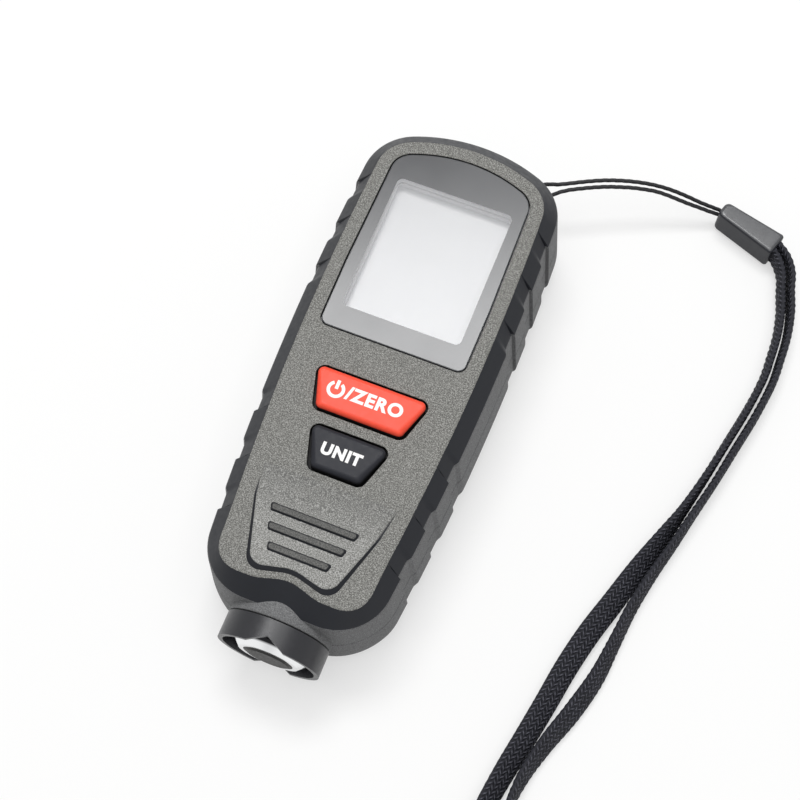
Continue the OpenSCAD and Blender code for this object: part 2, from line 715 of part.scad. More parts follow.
// Flared rim of the head, clear of the sleeve's inside over the whole travel
head_flare_r = sleeve_r - sleeve_wall - 1;
head_flare_l = collar_y - sleeve_gap - 1.1 - head_travel - 0.4 - head_y;
module probe_head() {
    color("silver") turned([
        [head_bore_r, head_y], [head_r - 0.2, head_y], [head_flare_r, head_y + head_flare_l - 0.3],
        [head_flare_r, head_y + head_flare_l], [head_r, head_y + head_flare_l], [head_r, flange_y],
        [flange_r, flange_y], [flange_r, flange_y + flange_t], [1, flange_y + flange_t], [1, flange_y - 0.6],
        [head_bore_r, flange_y - 0.6]]);
}
tip_t = 1.2;
module probe_tip() {
    r = head_bore_r - seat / 2;
    color("dimgray") turned([[0, tip_y], [r - 0.8, tip_y], [r, tip_y + 0.35], [r, tip_y + tip_t], [0, tip_y + tip_t]]);
}
core_r = 1.6;
coil_y = tip_y + tip_t + 0.05;
coil_end_y = flange_y - 0.65;
module probe_coil() {
    r = head_bore_r - seat;
    color("chocolate") turned([
        [core_r + seat / 2, coil_y], [r, coil_y], [r, coil_y + 0.7], [r - 0.6, coil_y + 0.7],
        [r - 0.6, coil_end_y - 0.7], [r, coil_end_y - 0.7], [r, coil_end_y], [core_r + seat / 2, coil_end_y]]);
}
module probe_core() {
    color("darkslategray") along_y(core_r, coil_y, coil_end_y);
}
module probe_spring() {
    y0 = flange_y + flange_t + 0.05;
    r = flange_r - probe_wire_r - 0.5;
    color("silver") translate([0, y0, split_z]) coil(r, r, holder_end_y - 1.25 - y0, probe_turns, probe_wire_r);
}

// A cell along +Y from its flat end, at its own origin
module cell() {
    nub_h = 0.9;
    nub_r = 1.9;
    r = cell_d / 2;
    rotate([-90, 0, 0]) rotate_extrude() polygon([
        [0, 0], [r - 0.4, 0], [r, 0.4], [r, cell_l - nub_h - 0.4], [r - 0.4, cell_l - nub_h],
        [nub_r, cell_l - nub_h], [nub_r, cell_l], [0, cell_l]]);
}
left_cell_y = bay_low_y + seat / 2 + contact_t + contact_reach + seat / 2;
right_cell_y = bay_high_y - seat / 2 - contact_t - contact_reach - seat / 2;
module battery_left() {
    color("seagreen") translate([-cell_x, left_cell_y, cell_z]) cell();
}
module battery_right() {
    color("seagreen") translate([cell_x, right_cell_y, cell_z]) rotate([0, 0, 180]) cell();
}
// Contact plate whose face looks along +Y, with its lower edge clear of the cover
contact_h = 7.6;
module contact_plate(x0, x1) {
    block(x0, x1, 0, contact_t, cell_z - contact_h / 2, cell_z + contact_h / 2);
}
module contact_spring(x) {
    translate([x, contact_t - 0.1, cell_z]) coil(3.4, 2.6, contact_reach + 0.1, 3, 0.25);
}
module contact_nub(x, reach) {
    translate([x, contact_t - eps, cell_z]) rotate([-90, 0, 0]) cylinder(r1 = 2, r2 = 1.4, h = reach + eps);
}
left_nub_gap = bay_high_y - seat / 2 - contact_t - (left_cell_y + cell_l) - seat / 2;
module contact_link() {
    color("silver") translate([0, bay_low_y + seat / 2, 0]) {
        contact_plate(-bay_hx + 1, bay_hx - 1);
        contact_spring(-cell_x);
        contact_nub(cell_x, left_nub_gap);
    }
}
module contact_positive() {
    color("silver") translate([0, bay_high_y - seat / 2, 0]) mirror([0, 1, 0]) {
        contact_plate(-cell_x - 4.4, -cell_x + 4.4);
        contact_nub(-cell_x, left_nub_gap);
    }
}
module contact_negative() {
    color("silver") translate([0, bay_high_y - seat / 2, 0]) mirror([0, 1, 0]) {
        contact_plate(cell_x - 4.4, cell_x + 4.4);
        contact_spring(cell_x);
    }
}

module case_screws() {
    color("darkgray") at_spots(case_spots) {
        translate([0, 0, counterbore_h - screw_head_h]) cylinder(r = screw_head_r, h = screw_head_h);
        translate([0, 0, counterbore_h - eps]) cylinder(r = screw_r, h = split_z + screw_reach - counterbore_h);
    }
}
module board_screws() {
    color("darkgray") at_spots(board_spots) {
        translate([0, 0, board_z - board_t - 1.2]) cylinder(r = pin_screw_head_r, h = 1.2);
        translate([0, 0, board_z - board_t - eps]) cylinder(r = pin_screw_r, h = board_t + board_reach);
    }
}

// Route of the string: out of the ferrule, through both lanyard holes and back
string_route = [
    [52.9, 70.3, 3.4], [51.5, 70.7, 3.7], [49.5, 70.3, 4.4], [47, 69.8, 5.4], [44.5, 69.2, 6.5], [42, 68.7, 7.6],
    [39.5, 68.2, 8.7], [37, 67.6, 9.6], [34.5, 66.8, 10.2], [32, 65.9, 10.7], [29.5, 64.9, 11], [27, 63.8, 11.3],
    [24.5, 62.6, 11.4], [22, 61.3, 11.4], [19.5, 60, 11.2], [17.4, 58.7, 10.7], [15.9, 57.3, 10.1], [15, 55.8, 9.6],
    [14.8, 54, 9.5], [14.7, 52.4, 9.5], [14, 51.2, 9.5], [13, 50.8, 9.5], [12, 51.2, 9.5], [11.4, 52.4, 9.5],
    [11.3, 54.6, 9.5], [11.4, 56.8, 9.6], [12.4, 58.6, 10.1], [14.5, 59.8, 10.8], [17, 60.4, 11.4], [19.2, 61.3, 11.8],
    [21.6, 62.5, 12], [24.1, 63.8, 12], [26.6, 65, 11.9], [29.1, 66.1, 11.6], [31.6, 67.1, 11.2], [34.2, 68, 10.7],
    [36.7, 68.8, 10], [39.2, 69.5, 9.1], [41.7, 70.1, 8], [44.2, 70.6, 6.8], [46.8, 71, 5.6], [49.3, 71.5, 4.5],
    [51.4, 71.8, 3.8], [53, 71.4, 3.4]];
// Route of the strap: place, tilt of its width from flat, and lift off the table
strap_route = [
    [64.2, 66.2, 90, 0.8], [65.6, 65.6, 90, 0.8], [67.2, 63.9, 90, 0.7], [68.6, 61.5, 90, 0.5], [69.6, 58, 90, 0.2],
    [70.9, 53.6, 90, 0], [71.8, 48, 90, 0], [72, 42, 90, 0], [71.9, 36.6, 90, 0], [70.7, 28.6, 90, 0],
    [68.9, 20, 90, 0], [67.1, 11.5, 85, 0], [65, 3, 75, 0], [63.2, -3, 60, 0], [60.3, -12, 40, 0],
    [57.9, -20, 30, 0], [55.4, -28, 25, 0], [53.5, -36, 30, 0], [52.1, -44, 45, 0], [50.6, -52, 60, 0],
    [49, -60, 80, 0], [47.4, -70, 90, 0], [46.8, -78, 90, 0], [46.8, -84, 90, 0], [47.6, -87.4, 90, 0],
    [49.4, -88.8, 90, 0], [51.2, -87.4, 90, 0], [52, -84, 90, 0], [52.1, -78, 90, 0], [51.8, -70, 90, 0],
    [52.6, -60, 100, 0], [54.6, -52, 105, 0],
    [57.4, -44, 110, 0], [59.6, -36, 115, 0], [60.7, -28, 115, 0], [61.7, -20, 110, 0], [63.4, -12, 105, 0],
    [65.4, -4.4, 100, 0], [67.1, 2.6, 95, 0], [69.2, 11.1, 90, 0], [71, 19.6, 90, 0], [72.8, 28.2, 90, 0],
    [74, 36.4, 90, 0], [74.1, 42, 90, 0], [73.9, 48.2, 90, 0], [73, 54, 90, 0], [71.6, 58.6, 90, 0.2],
    [70.6, 62.4, 90, 0.5], [68.7, 65.5, 90, 0.7], [66.2, 67.6, 90, 0.8], [64.8, 68.2, 90, 0.8]];
ferrule_c = [58.7, 69];
ferrule_turn = -17.5;
ferrule_front_w = 3.8;
ferrule_rear_w = 5.6;
cord_sides = 8;
function heading(route, i) =
    let (a = route[max(i - 1, 0)])
    let (b = route[min(i + 1, len(route) - 1)])
    unit(b - a);

module strap_string() {
    n = len(string_route);
    ahead = [for (i = [0 : n - 1]) heading(string_route, i)];
    beside = [for (t = ahead) unit([t[1], -t[0], 0])];
    color("black") tube(string_route, [for (s = beside) s * string_r],
        [for (i = [0 : n - 1]) cross(beside[i], ahead[i]) * string_r], cord_sides);
}
module strap_ferrule() {
    plan = [[-ferrule_l / 2, -ferrule_front_w / 2], [ferrule_l / 2, -ferrule_rear_w / 2],
        [ferrule_l / 2, ferrule_rear_w / 2], [-ferrule_l / 2, ferrule_front_w / 2]];
    outer = rounded(plan, [1.2, 0.5, 0.5, 1.2], 4);
    inner = [for (p = outer) [p[0] * (1 - 1 / ferrule_l), p[1] * (1 - 1 / ferrule_rear_w)]];
    color("black") translate([ferrule_c[0], ferrule_c[1], 0]) rotate([0, 0, ferrule_turn])
        loft([at_z(inner, 0.05), at_z(outer, 0.6), at_z(outer, ferrule_h - 0.6), at_z(inner, ferrule_h)]);
}
module wrist_strap() {
    n = len(strap_route);
    flat = [for (p = strap_route) [p[0], p[1], 0]];
    ahead = [for (i = [0 : n - 1]) heading(flat, i)];
    wide = [for (i = [0 : n - 1])
        let (t = ahead[i])
        [t[1], -t[0], 0] * cos(strap_route[i][2]) + [0, 0, 1] * sin(strap_route[i][2])];
    thick = [for (i = [0 : n - 1]) cross(wide[i], ahead[i])];
    lay = [for (p = strap_route) (strap_w * abs(sin(p[2])) + strap_t * abs(cos(p[2]))) / 2 + p[3]];
    color("black") tube([for (i = [0 : n - 1]) flat[i] + [0, 0, lay[i]]],
        [for (w = wide) w * strap_w / 2], [for (t = thick) t * strap_t / 2], cord_sides);
}

front_shell();
rear_shell();
battery_cover();
display_lens();
lcd_panel();
lcd_backlight();
lcd_frame();
zebra_strip();
main_board();
controller_chip();
zero_button();
unit_button();
zero_switch();
unit_switch();
probe_sleeve();
probe_guide();
probe_holder();
probe_head();
probe_tip();
probe_coil();
probe_core();
probe_spring();
battery_left();
battery_right();
contact_link();
contact_positive();
contact_negative();
case_screws();
board_screws();
strap_string();
strap_ferrule();
wrist_strap();
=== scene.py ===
"""Coating thickness gauge: camera, light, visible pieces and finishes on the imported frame."""

import logging
import math
from dataclasses import dataclass, field
from enum import Enum, IntEnum

import bmesh
import bpy
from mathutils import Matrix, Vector


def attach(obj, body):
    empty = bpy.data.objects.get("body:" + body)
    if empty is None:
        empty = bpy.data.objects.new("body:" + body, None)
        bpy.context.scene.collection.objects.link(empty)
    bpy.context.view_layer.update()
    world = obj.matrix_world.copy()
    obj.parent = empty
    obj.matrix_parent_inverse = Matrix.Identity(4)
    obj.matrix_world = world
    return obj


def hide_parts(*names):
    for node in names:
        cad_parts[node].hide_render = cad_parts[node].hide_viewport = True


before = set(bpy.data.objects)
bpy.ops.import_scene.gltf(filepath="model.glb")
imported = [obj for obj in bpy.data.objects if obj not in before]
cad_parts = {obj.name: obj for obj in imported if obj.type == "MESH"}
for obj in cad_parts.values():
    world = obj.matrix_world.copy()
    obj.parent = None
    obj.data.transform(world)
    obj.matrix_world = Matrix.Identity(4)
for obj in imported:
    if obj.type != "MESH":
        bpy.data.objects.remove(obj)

LOG = logging.getLogger("gauge")
MM = 0.001
WHITE = (1.0, 1.0, 1.0, 1.0)
NOISE_RANGE = (0.3, 0.7)
FINE = 3.0
ON_AXIS = 0.01
EDGE_STEPS = 6
HOLE_STEPS = 24

Flat = tuple[float, float]
Point = tuple[float, float, float]
Colour = tuple[float, float, float]
Socket = bpy.types.NodeSocket
Term = Socket | float | tuple[float, ...]
Row = list[bmesh.types.BMVert]


class Body(Enum):
    """Bodies of the record that a visible piece can ride on."""

    HOUSING = "housing"
    ZERO = "zero_key"
    UNIT = "unit_key"


class Zone(IntEnum):
    """Material slots on the moulded shells."""

    GRAIN = 0
    BAND = 1
    INSIDE = 2
    WALL = 3
    RIB = 4
    BEZEL = 5
    PAD = 6


class KeySlot(IntEnum):
    """Material slots on a key."""

    CAP = 0
    SKIRT = 1


class LensSlot(IntEnum):
    """Material slots on the lens."""

    PRINT = 0
    PANE = 1
    EDGE = 2


class FerruleSlot(IntEnum):
    """Material slots on the ferrule."""

    TOP = 0
    SIDE = 1


SHELL_FINISHES = [
    "housing_plastic", "housing_band", "inside_and_gap_shade", "housing_wall", "housing_rib", "frame_plastic",
    "pad_painted_light",
]


# Finishes


class Nodes:
    """Node tree that code lays out."""

    def __init__(self, tree: bpy.types.NodeTree) -> None:
        """Takes over a tree."""
        self.tree = tree

    def join(self, term: Term, socket: Socket) -> None:
        """Links an input to another socket, or sets it.

        Args:
            term: Socket, number or numbers that it takes.
            socket: The input.
        """
        if isinstance(term, bpy.types.NodeSocket):
            self.tree.links.new(term, socket)
        else:
            socket.default_value = term

    def node(self, kind: str, terms: dict[str | int, Term] | None = None) -> bpy.types.Node:
        """Adds a node.

        Args:
            kind: Its type, without the words ShaderNode.
            terms: What its inputs take.

        Returns:
            The node.
        """
        made = self.tree.nodes.new("ShaderNode" + kind)
        for key, term in (terms or {}).items():
            self.join(term, made.inputs[key])
        return made

    def calc(self, operation: str, *terms: Term) -> Socket:
        """One step of arithmetic.

        Args:
            operation: Name of the step.
            terms: What it takes.

        Returns:
            The result.
        """
        made = self.node("Math")
        made.operation = operation
        for term, socket in zip(terms, made.inputs):
            self.join(term, socket)
        return made.outputs["Value"]

    def seen(self) -> Socket:
        """Switch for rays from the camera, a gloss or a clear pane.

        Returns:
            The switch, 1 for such rays.
        """
        rays = self.node("LightPath").outputs
        either = self.calc("MAXIMUM", rays["Is Camera Ray"], rays["Is Glossy Ray"])
        return self.calc("MAXIMUM", either, rays["Is Transmission Ray"])

    def blend(self, share: Socket, first: Socket, second: Socket) -> Socket:
        """Mix of two shaders by the share of the second."""
        return self.node("MixShader", {"Fac": share, 1: first, 2: second}).outputs["Shader"]


class Shader(Nodes):
    """Nodes of one material."""

    def __init__(self, name: str) -> None:
        """Starts a material with a plain Principled shader.

        Args:
            name: Name of the material.
        """
        self.material = bpy.data.materials.new(name)
        self.material.use_nodes = True
        super().__init__(self.material.node_tree)
        self.tree.nodes.clear()
        self.bsdf = self.node("BsdfPrincipled")
        self.out = self.node("OutputMaterial", {"Surface": self.bsdf.outputs["BSDF"]})
        self.place = self.node("TexCoord").outputs["Object"]

    def feed(self, socket: str, term: Term) -> None:
        """Sets or links one input of the shader."""
        self.join(term, self.bsdf.inputs[socket])

    def noise(self, scale: float, detail: float = 2.0, stretch: Point = (1, 1, 1)) -> Socket:
        """Noise over the object's own coordinates.

        Args:
            scale: Waves in a metre.
            detail: Octaves.
            stretch: Scale of each axis.

        Returns:
            The noise's value.
        """
        place = self.node("Mapping", {"Vector": self.place, "Scale": stretch}).outputs["Vector"]
        return self.node("TexNoise", {"Vector": place, "Scale": scale, "Detail": detail}).outputs["Fac"]

    def ramp(self, source: Socket, stops: list[tuple[float, Colour]]) -> Socket:
        """Colour ramp over a value.

        Args:
            source: Value that picks the colour.
            stops: Places and colours.

        Returns:
            The colour.
        """
        node = self.node("ValToRGB", {"Fac": source})
        ends = node.color_ramp.elements
        for end, (at, colour) in zip(ends, (stops[0], stops[-1])):
            end.position = at
            end.color = (*colour, 1)
        for at, colour in stops[1:-1]:
            ends.new(at).color = (*colour, 1)
        return node.outputs["Color"]

    def mapped(self, source: Socket, start: float, end: float, low: float, high: float) -> Socket:
        """Value carried from one range onto another.

        Args:
            source: Value to carry.
            start: Value that gives low.
            end: Value that gives high.
            low: Result up to the start.
            high: Result from the end on.

        Returns:
            The carried value.
        """
        limits = {"From Min": start, "From Max": end, "To Min": low, "To Max": high}
        return self.node("MapRange", {"Value": source, **limits}).outputs["Result"]

    def spread(self, source: Socket, low: float, high: float) -> Socket:
        """Noise carried onto a range."""
        return self.mapped(source, *NOISE_RANGE, low, high)

    def slope(self, start: float, end: float, low: float, high: float) -> Socket:
        """Value that changes between two places along the gauge, in millimetres."""
        along = self.node("SeparateXYZ", {"Vector": self.place}).outputs["Y"]
        return self.mapped(along, start * MM, end * MM, low, high)

    def carried(self, name: str) -> Socket:
        """Value that the mesh carries on its points.

        Args:
            name: Name of the mesh's attribute.

        Returns:
            The value.
        """
        node = self.node("Attribute")
        node.attribute_name = name
        return node.outputs["Fac"]

    def bump(self, source: Socket, depth: float) -> None:
        """Raises the surface by a value.

        Args:
            source: Height.
            depth: Height of a full step in millimetres.
        """
        node = self.node("Bump", {"Strength": 1.0, "Distance": depth * MM, "Height": source})
        self.feed("Normal", node.outputs["Normal"])


@dataclass(frozen=True)
class Finish:
    """Look of one material."""

    name: str

    def lay(self, kit: Shader) -> None:
        """Lays out the nodes; each kind of finish has its own."""

    def build(self) -> bpy.types.Material:
        """Makes the material.

        Returns:
            The material.
        """
        kit = Shader(self.name)
        self.lay(kit)
        return kit.material


@dataclass(frozen=True)
class Grained(Finish):
    """Spark-eroded moulding texture: fine grains with lighter specks."""

    dark: Colour
    mid: Colour
    light: Colour
    depth: float = 0.05
    # Painted light: a tone shift between two places along the gauge, in millimetres, and its size.
    painted_light_fade: Flat = (0.0, 0.0)
    painted_light_fade_by: float = 0.0
    stops: Point = (0.34, 0.5, 0.68)
    rough: Flat = (0.55, 0.75)
    grain: float = 4700.0
    broad: float = 0.4
    specular: float = 0.25

    def lay(self, kit: Shader) -> None:
        """Lays out the nodes.

        Args:
            kit: Nodes of the material.
        """
        grains = kit.noise(self.grain, FINE)
        tone = grains
        # Painted light: the tone shifts along the gauge.
        if self.painted_light_fade_by:
            tone = kit.calc("ADD", grains, kit.slope(*self.painted_light_fade, 0.0, self.painted_light_fade_by))
        kit.feed("Base Color", kit.ramp(tone, list(zip(self.stops, (self.dark, self.mid, self.light)))))
        kit.feed("Roughness", kit.spread(kit.noise(self.grain * self.broad), *self.rough))
        kit.feed("Specular IOR Level", self.specular)
        kit.bump(grains, self.depth)


@dataclass(frozen=True)
class Braided(Finish):
    """Flat braid: columns of slanted yarns, each column leaning against the next."""

    # Colours of the plait: painted shade in the hollows between yarns, the weave's middle tone, and painted
    # highlight on the crests.
    gap: Colour
    mid: Colour
    yarn_highlight: Colour
    stops: Point = (0.3, 0.62, 0.98)
    column: float = 0.84
    pitch: float = 1.1
    slant: float = 0.75
    fuzz: float = 2600.0
    fray: float = 0.5
    rough: Flat = (0.6, 0.75)
    specular: float = 0.25
    depth: float = 0.25

    def lay(self, kit: Shader) -> None:
        """Lays out the nodes.

        Args:
            kit: Nodes of the material.
        """
        column = kit.calc("DIVIDE", kit.carried("over"), self.column)
        place = kit.calc("SUBTRACT", kit.calc("FRACT", column), 0.5)
        odd = kit.calc("FLOORED_MODULO", kit.calc("FLOOR", column), 2.0)
        lean = kit.calc("MULTIPLY", place, kit.calc("MULTIPLY_ADD", odd, 2 * self.slant, -self.slant))
        turn = kit.calc("ADD", kit.calc("DIVIDE", kit.carried("along"), self.pitch), lean)
        turn = kit.calc("MULTIPLY", kit.calc("MULTIPLY_ADD", odd, 0.5, turn), math.tau)
        dome = kit.calc("COSINE", kit.calc("MULTIPLY", place, math.pi))
        wave = kit.calc("MULTIPLY", kit.calc("COSINE", turn), dome)
        plait = kit.calc("MULTIPLY_ADD", wave, 0.5, 0.5)
        fuzz = kit.noise(self.fuzz)
        tone = kit.calc("MULTIPLY_ADD", kit.calc("SUBTRACT", fuzz, 0.5), self.fray, plait)
        # The weave's pattern, with painted shade where the plait is low and painted highlight where it is
        # high.
        kit.feed("Base Color", kit.ramp(tone, list(zip(self.stops, (self.gap, self.mid, self.yarn_highlight)))))
        kit.feed("Roughness", kit.spread(fuzz, *self.rough))
        kit.feed("Specular IOR Level", self.specular)
        kit.bump(tone, self.depth)


@dataclass(frozen=True)
class Smooth(Finish):
    """Plain moulded, printed, plated or painted surface with a faint unevenness."""

    base: Colour
    rough: Flat = (0.3, 0.4)
    wave: float = 600.0
    depth: float = 0.004
    shift: float = 0.06
    metallic: float = 0.0
    specular: float = 0.5
    stretch: Point = (1, 1, 1)

    def lay(self, kit: Shader) -> None:
        """Lays out the nodes.

        Args:
            kit: Nodes of the material.
        """
        flow = kit.noise(self.wave, FINE, self.stretch)
        pair = [tuple(min(1.0, c * (1 + shift)) for c in self.base) for shift in (-self.shift, self.shift)]
        kit.feed("Base Color", kit.ramp(flow, list(zip(NOISE_RANGE, pair))))
        kit.feed("Roughness", kit.spread(flow, *self.rough))
        kit.feed("Metallic", self.metallic)
        kit.feed("Specular IOR Level", self.specular)
        kit.bump(flow, self.depth)


@dataclass(frozen=True)
class Chrome(Finish):
    """Bright plating, with the dark sleeve's reflection painted into its colour near the rim."""

    bright: Colour
    painted_reflection: Colour
    rim: Flat
    rough: Flat = (0.06, 0.14)
    wave: float = 900.0
    depth: float = 0.002

    def lay(self, kit: Shader) -> None:
        """Lays out the nodes.

        Args:
            kit: Nodes of the material.
        """
        # Painted reflection: the colour turns dark across the rim, for the sleeve mirrored there.
        painted_reflection_mask = kit.slope(*self.rim, 0.0, 1.0)
        kit.feed("Base Color", kit.ramp(painted_reflection_mask, [(0.0, self.bright), (1.0, self.painted_reflection)]))
        flow = kit.noise(self.wave, FINE)
        kit.feed("Roughness", kit.spread(flow, *self.rough))
        kit.feed("Metallic", 1.0)
        kit.bump(flow, self.depth)


@dataclass(frozen=True)
class Clear(Finish):
    """See-through pane whose gloss comes from the glass under it."""

    tint: Colour = (0.82, 0.83, 0.85)
    alpha: float = 0.12
    rough: Flat = (0.3, 0.36)
    wave: float = 120.0

    def lay(self, kit: Shader) -> None:
        """Lays out the nodes.

        Args:
            kit: Nodes of the material.
        """
        kit.feed("Base Color", (*self.tint, 1.0))
        kit.feed("Roughness", kit.spread(kit.noise(self.wave), *self.rough))
        kit.feed("Alpha", self.alpha)


@dataclass(frozen=True)
class Glowing(Finish):
    """Stage white that keeps a share of the shadows where it is seen."""

    base: Colour
    glow: float = 0.55
    rough: Flat = (0.85, 0.95)
    wave: float = 30.0

    def lay(self, kit: Shader) -> None:
        """Lays out the nodes.

        Args:
            kit: Nodes of the material.
        """
        kit.feed("Base Color", (*self.base, 1.0))
        kit.feed("Specular IOR Level", 0.0)
        kit.feed("Roughness", kit.spread(kit.noise(self.wave), *self.rough))
        white = kit.node("Emission", {"Color": WHITE, "Strength": 1.0}).outputs["Emission"]
        share = kit.calc("MULTIPLY", kit.seen(), self.glow)
        kit.join(kit.blend(share, kit.bsdf.outputs["BSDF"], white), kit.out.inputs["Surface"])


class Paint:
    """Every finish, made once and then shared."""

    finishes: tuple[Finish, ...] = (
        Grained("housing_plastic", (0.08, 0.08, 0.074), (0.18, 0.179, 0.167), (0.4, 0.399, 0.38)),
        Grained("cover_plastic", (0.086, 0.087, 0.089), (0.138, 0.14, 0.143), (0.21, 0.212, 0.216), 0.03),
        Grained("housing_wall", (0.09, 0.091, 0.093), (0.145, 0.147, 0.15), (0.22, 0.222, 0.226), 0.03),
        # Thumb pad: a lighter copy of the housing plastic, painted light on the slope that faces the lamp,
        # shading back towards the face's tone at its strap end.
        Grained(
            "pad_painted_light", (0.12, 0.12, 0.115), (0.26, 0.26, 0.247), (0.5, 0.5, 0.485),
            painted_light_fade=(-36.0, -25.0), painted_light_fade_by=-0.1,
        ),
        Grained("housing_rib", (0.055, 0.055, 0.053), (0.1, 0.1, 0.096), (0.17, 0.17, 0.163), 0.03),
        Smooth("housing_band", (0.0085, 0.0098, 0.014), (0.36, 0.48), 900.0, 0.006, specular=0.32),
        # Near-black, painted shade: on the shells' insides, on the walls of the key openings and on the keys'
        # skirts, where the gaps fall dark.
        Smooth("inside_and_gap_shade", (0.012, 0.012, 0.013), (0.5, 0.6), 500.0, 0.01, specular=0.3),
        Smooth("lens_print", (0.04, 0.042, 0.047), (0.18, 0.22), 90.0, 0.0, 0.02),
        Clear("lens_glass"),
        Smooth("lcd_glass", (0.55, 0.552, 0.563), (0.2, 0.24), 80.0, 0.0, 0.015),
        Smooth("light_diffuser", (0.85, 0.86, 0.84), (0.5, 0.6)),
        Smooth("frame_plastic", (0.72, 0.72, 0.73), (0.45, 0.55)),
        Smooth("contact_rubber", (0.09, 0.09, 0.1), (0.6, 0.7)),
        Smooth("board_laminate", (0.02, 0.13, 0.05), (0.35, 0.45), 1500.0, 0.01, 0.2),
        Smooth("chip_epoxy", (0.012, 0.012, 0.013), (0.5, 0.6), 4000.0, 0.01),
        Smooth("key_red", (0.9, 0.085, 0.045), (0.36, 0.44), 1200.0, 0.006, 0.04, specular=0.22),
        Smooth("key_black", (0.024, 0.025, 0.031), (0.38, 0.48), 1200.0, 0.006, specular=0.14),
        Smooth("legend_white", (0.9, 0.89, 0.87), (0.45, 0.55), 2000.0, 0.002, 0.02),
        Smooth("switch_body", (0.015, 0.015, 0.016), (0.4, 0.5)),
        Smooth("sleeve_plastic", (0.012, 0.0125, 0.016), (0.3, 0.4), 1400.0, 0.006, specular=0.55),
        Smooth("guide_bronze", (0.55, 0.34, 0.16), (0.28, 0.4), 2200.0, 0.004, 0.1, metallic=1.0),
        Smooth("holder_plastic", (0.12, 0.12, 0.13), (0.45, 0.55)),
        # Probe head: painted reflection of the dark sleeve across its rim.
        Chrome("head_chrome", (0.85, 0.86, 0.87), (0.02, 0.02, 0.022), (-56.7, -56.35)),
        Smooth("tip_hard", (0.018, 0.018, 0.017), (0.34, 0.46), 1800.0, 0.004, 0.1, specular=0.1),
        Smooth(
            "coil_copper", (0.7, 0.3, 0.13), (0.25, 0.35), 2500.0, 0.02, 0.12, metallic=1.0, stretch=(1, 8, 1)
        ),
        Smooth("core_ferrite", (0.05, 0.05, 0.052), (0.5, 0.6)),
        Smooth("spring_steel", (0.6, 0.6, 0.62), (0.2, 0.3), 2500.0, 0.003, 0.06, metallic=1.0),
        Smooth("cell_wrap", (0.05, 0.09, 0.2), (0.22, 0.32), 400.0, 0.004, 0.1),
        Smooth("contact_plate", (0.72, 0.7, 0.66), (0.2, 0.32), 1500.0, 0.004, 0.06, metallic=1.0),
        Smooth("screw_steel", (0.5, 0.5, 0.52), (0.28, 0.4), 2200.0, 0.004, 0.08, metallic=1.0),
        Smooth("cord_nylon", (0.012, 0.012, 0.014), (0.5, 0.62), 5000.0, 0.04, 0.2, specular=0.35),
        # Ferrule: one plastic; its sides take a darker copy, painted shade.
        Smooth("ferrule_plastic", (0.03, 0.032, 0.037), (0.28, 0.36), 700.0, 0.004, specular=0.95),
        Smooth("ferrule_side_shade", (0.022, 0.023, 0.029), (0.34, 0.44), 700.0, 0.004, specular=0.3),
        # Strap: painted shade between the yarns and painted highlight on them.
        Braided("strap_braid", (0.008, 0.0085, 0.012), (0.021, 0.0215, 0.029), (0.1, 0.101, 0.122)),
    )
    made: dict[str, bpy.types.Material] = {}

    @classmethod
    def of(cls, name: str) -> bpy.types.Material:
        """Material of a finish.

        Args:
            name: Name of the finish.

        Returns:
            Its material.
        """
        if name not in cls.made:
            cls.made[name] = next(finish for finish in cls.finishes if finish.name == name).build()
        return cls.made[name]


# Outlines and meshes, in millimetres of the CAD frame


def polar(centre: Flat, radius: float, degrees: float) -> Flat:
    """Point on a circle in a direction."""
    turn = math.radians(degrees)
    return centre[0] + radius * math.cos(turn), centre[1] + radius * math.sin(turn)


def direction(a: Flat, b: Flat) -> float:
    """Direction from a to b in degrees."""
    return math.degrees(math.atan2(b[1] - a[1], b[0] - a[0]))


def quarter(steps: int) -> list[Flat]:
    """Sine and cosine at even steps over a right angle."""
    turns = [math.pi / 2 * i / steps for i in range(steps + 1)]
    return [(math.sin(a), math.cos(a)) for a in turns]


def fillet(a: Flat, p: Flat, b: Flat, radius: float, steps: int = 10) -> list[Flat]:
    """Arc that rounds one corner.

    Args:
        a: Point before the corner.
        p: The corner.
        b: Point after it.
        radius: Radius of the arc.
        steps: Steps along it.

    Returns:
        Points of the arc.
    """
    u = (Vector(a) - Vector(p)).normalized()
    v = (Vector(b) - Vector(p)).normalized()
    half = math.acos(max(-1.0, min(1.0, u.dot(v)))) / 2
    centre = Vector(p) + (u + v).normalized() * radius / math.sin(half)
    start = direction(centre, Vector(p) + u * radius / math.tan(half))
    turn = direction(centre, Vector(p) + v * radius / math.tan(half)) - start
    turn = (turn + 180) % 360 - 180
    return [polar(centre, radius, start + turn * i / steps) for i in range(steps + 1)]


def rounded(points: list[Flat], radii: list[float], steps: int = 10) -> list[Flat]:
    """Polygon with each corner rounded by its own radius.

    Args:
        points: Corners.
        radii: Radius at each.
        steps: Steps of each arc.

    Returns:
        Points of the rounded outline.
    """
    n = len(points)
    arcs = [fillet(points[i - 1], points[i], points[(i + 1) % n], radii[i], steps) for i in range(n)]
    return [p for arc in arcs for p in arc]


def box(hx: float, low: float, high: float) -> list[Flat]:
    """Corners of a rectangle on the middle line."""
    return [(-hx, low), (hx, low), (hx, high), (-hx, high)]


def box_outline(window: Point, grow: float, radius: float) -> list[Flat]:
    """Rounded rectangle on the middle line.

    Args:
        window: Its width, its length and its middle along the length.
        grow: How far each side moves out.
        radius: Corner radius.

    Returns:
        Points of the outline.
    """
    wide, long, place = window
    reach = long / 2 + grow
    return rounded(box(wide / 2 + grow, place - reach, place + reach), [radius] * 4, 8)


def circle(centre: Flat, radius: float, steps: int = 40) -> list[Flat]:
    """Points of a circle."""
    return [polar(centre, radius, 360 * i / steps) for i in range(steps)]


def at_z(points: list[Flat], z: float) -> list[Point]:
    """Flat points lifted to a height."""
    return [(p[0], p[1], z) for p in points]


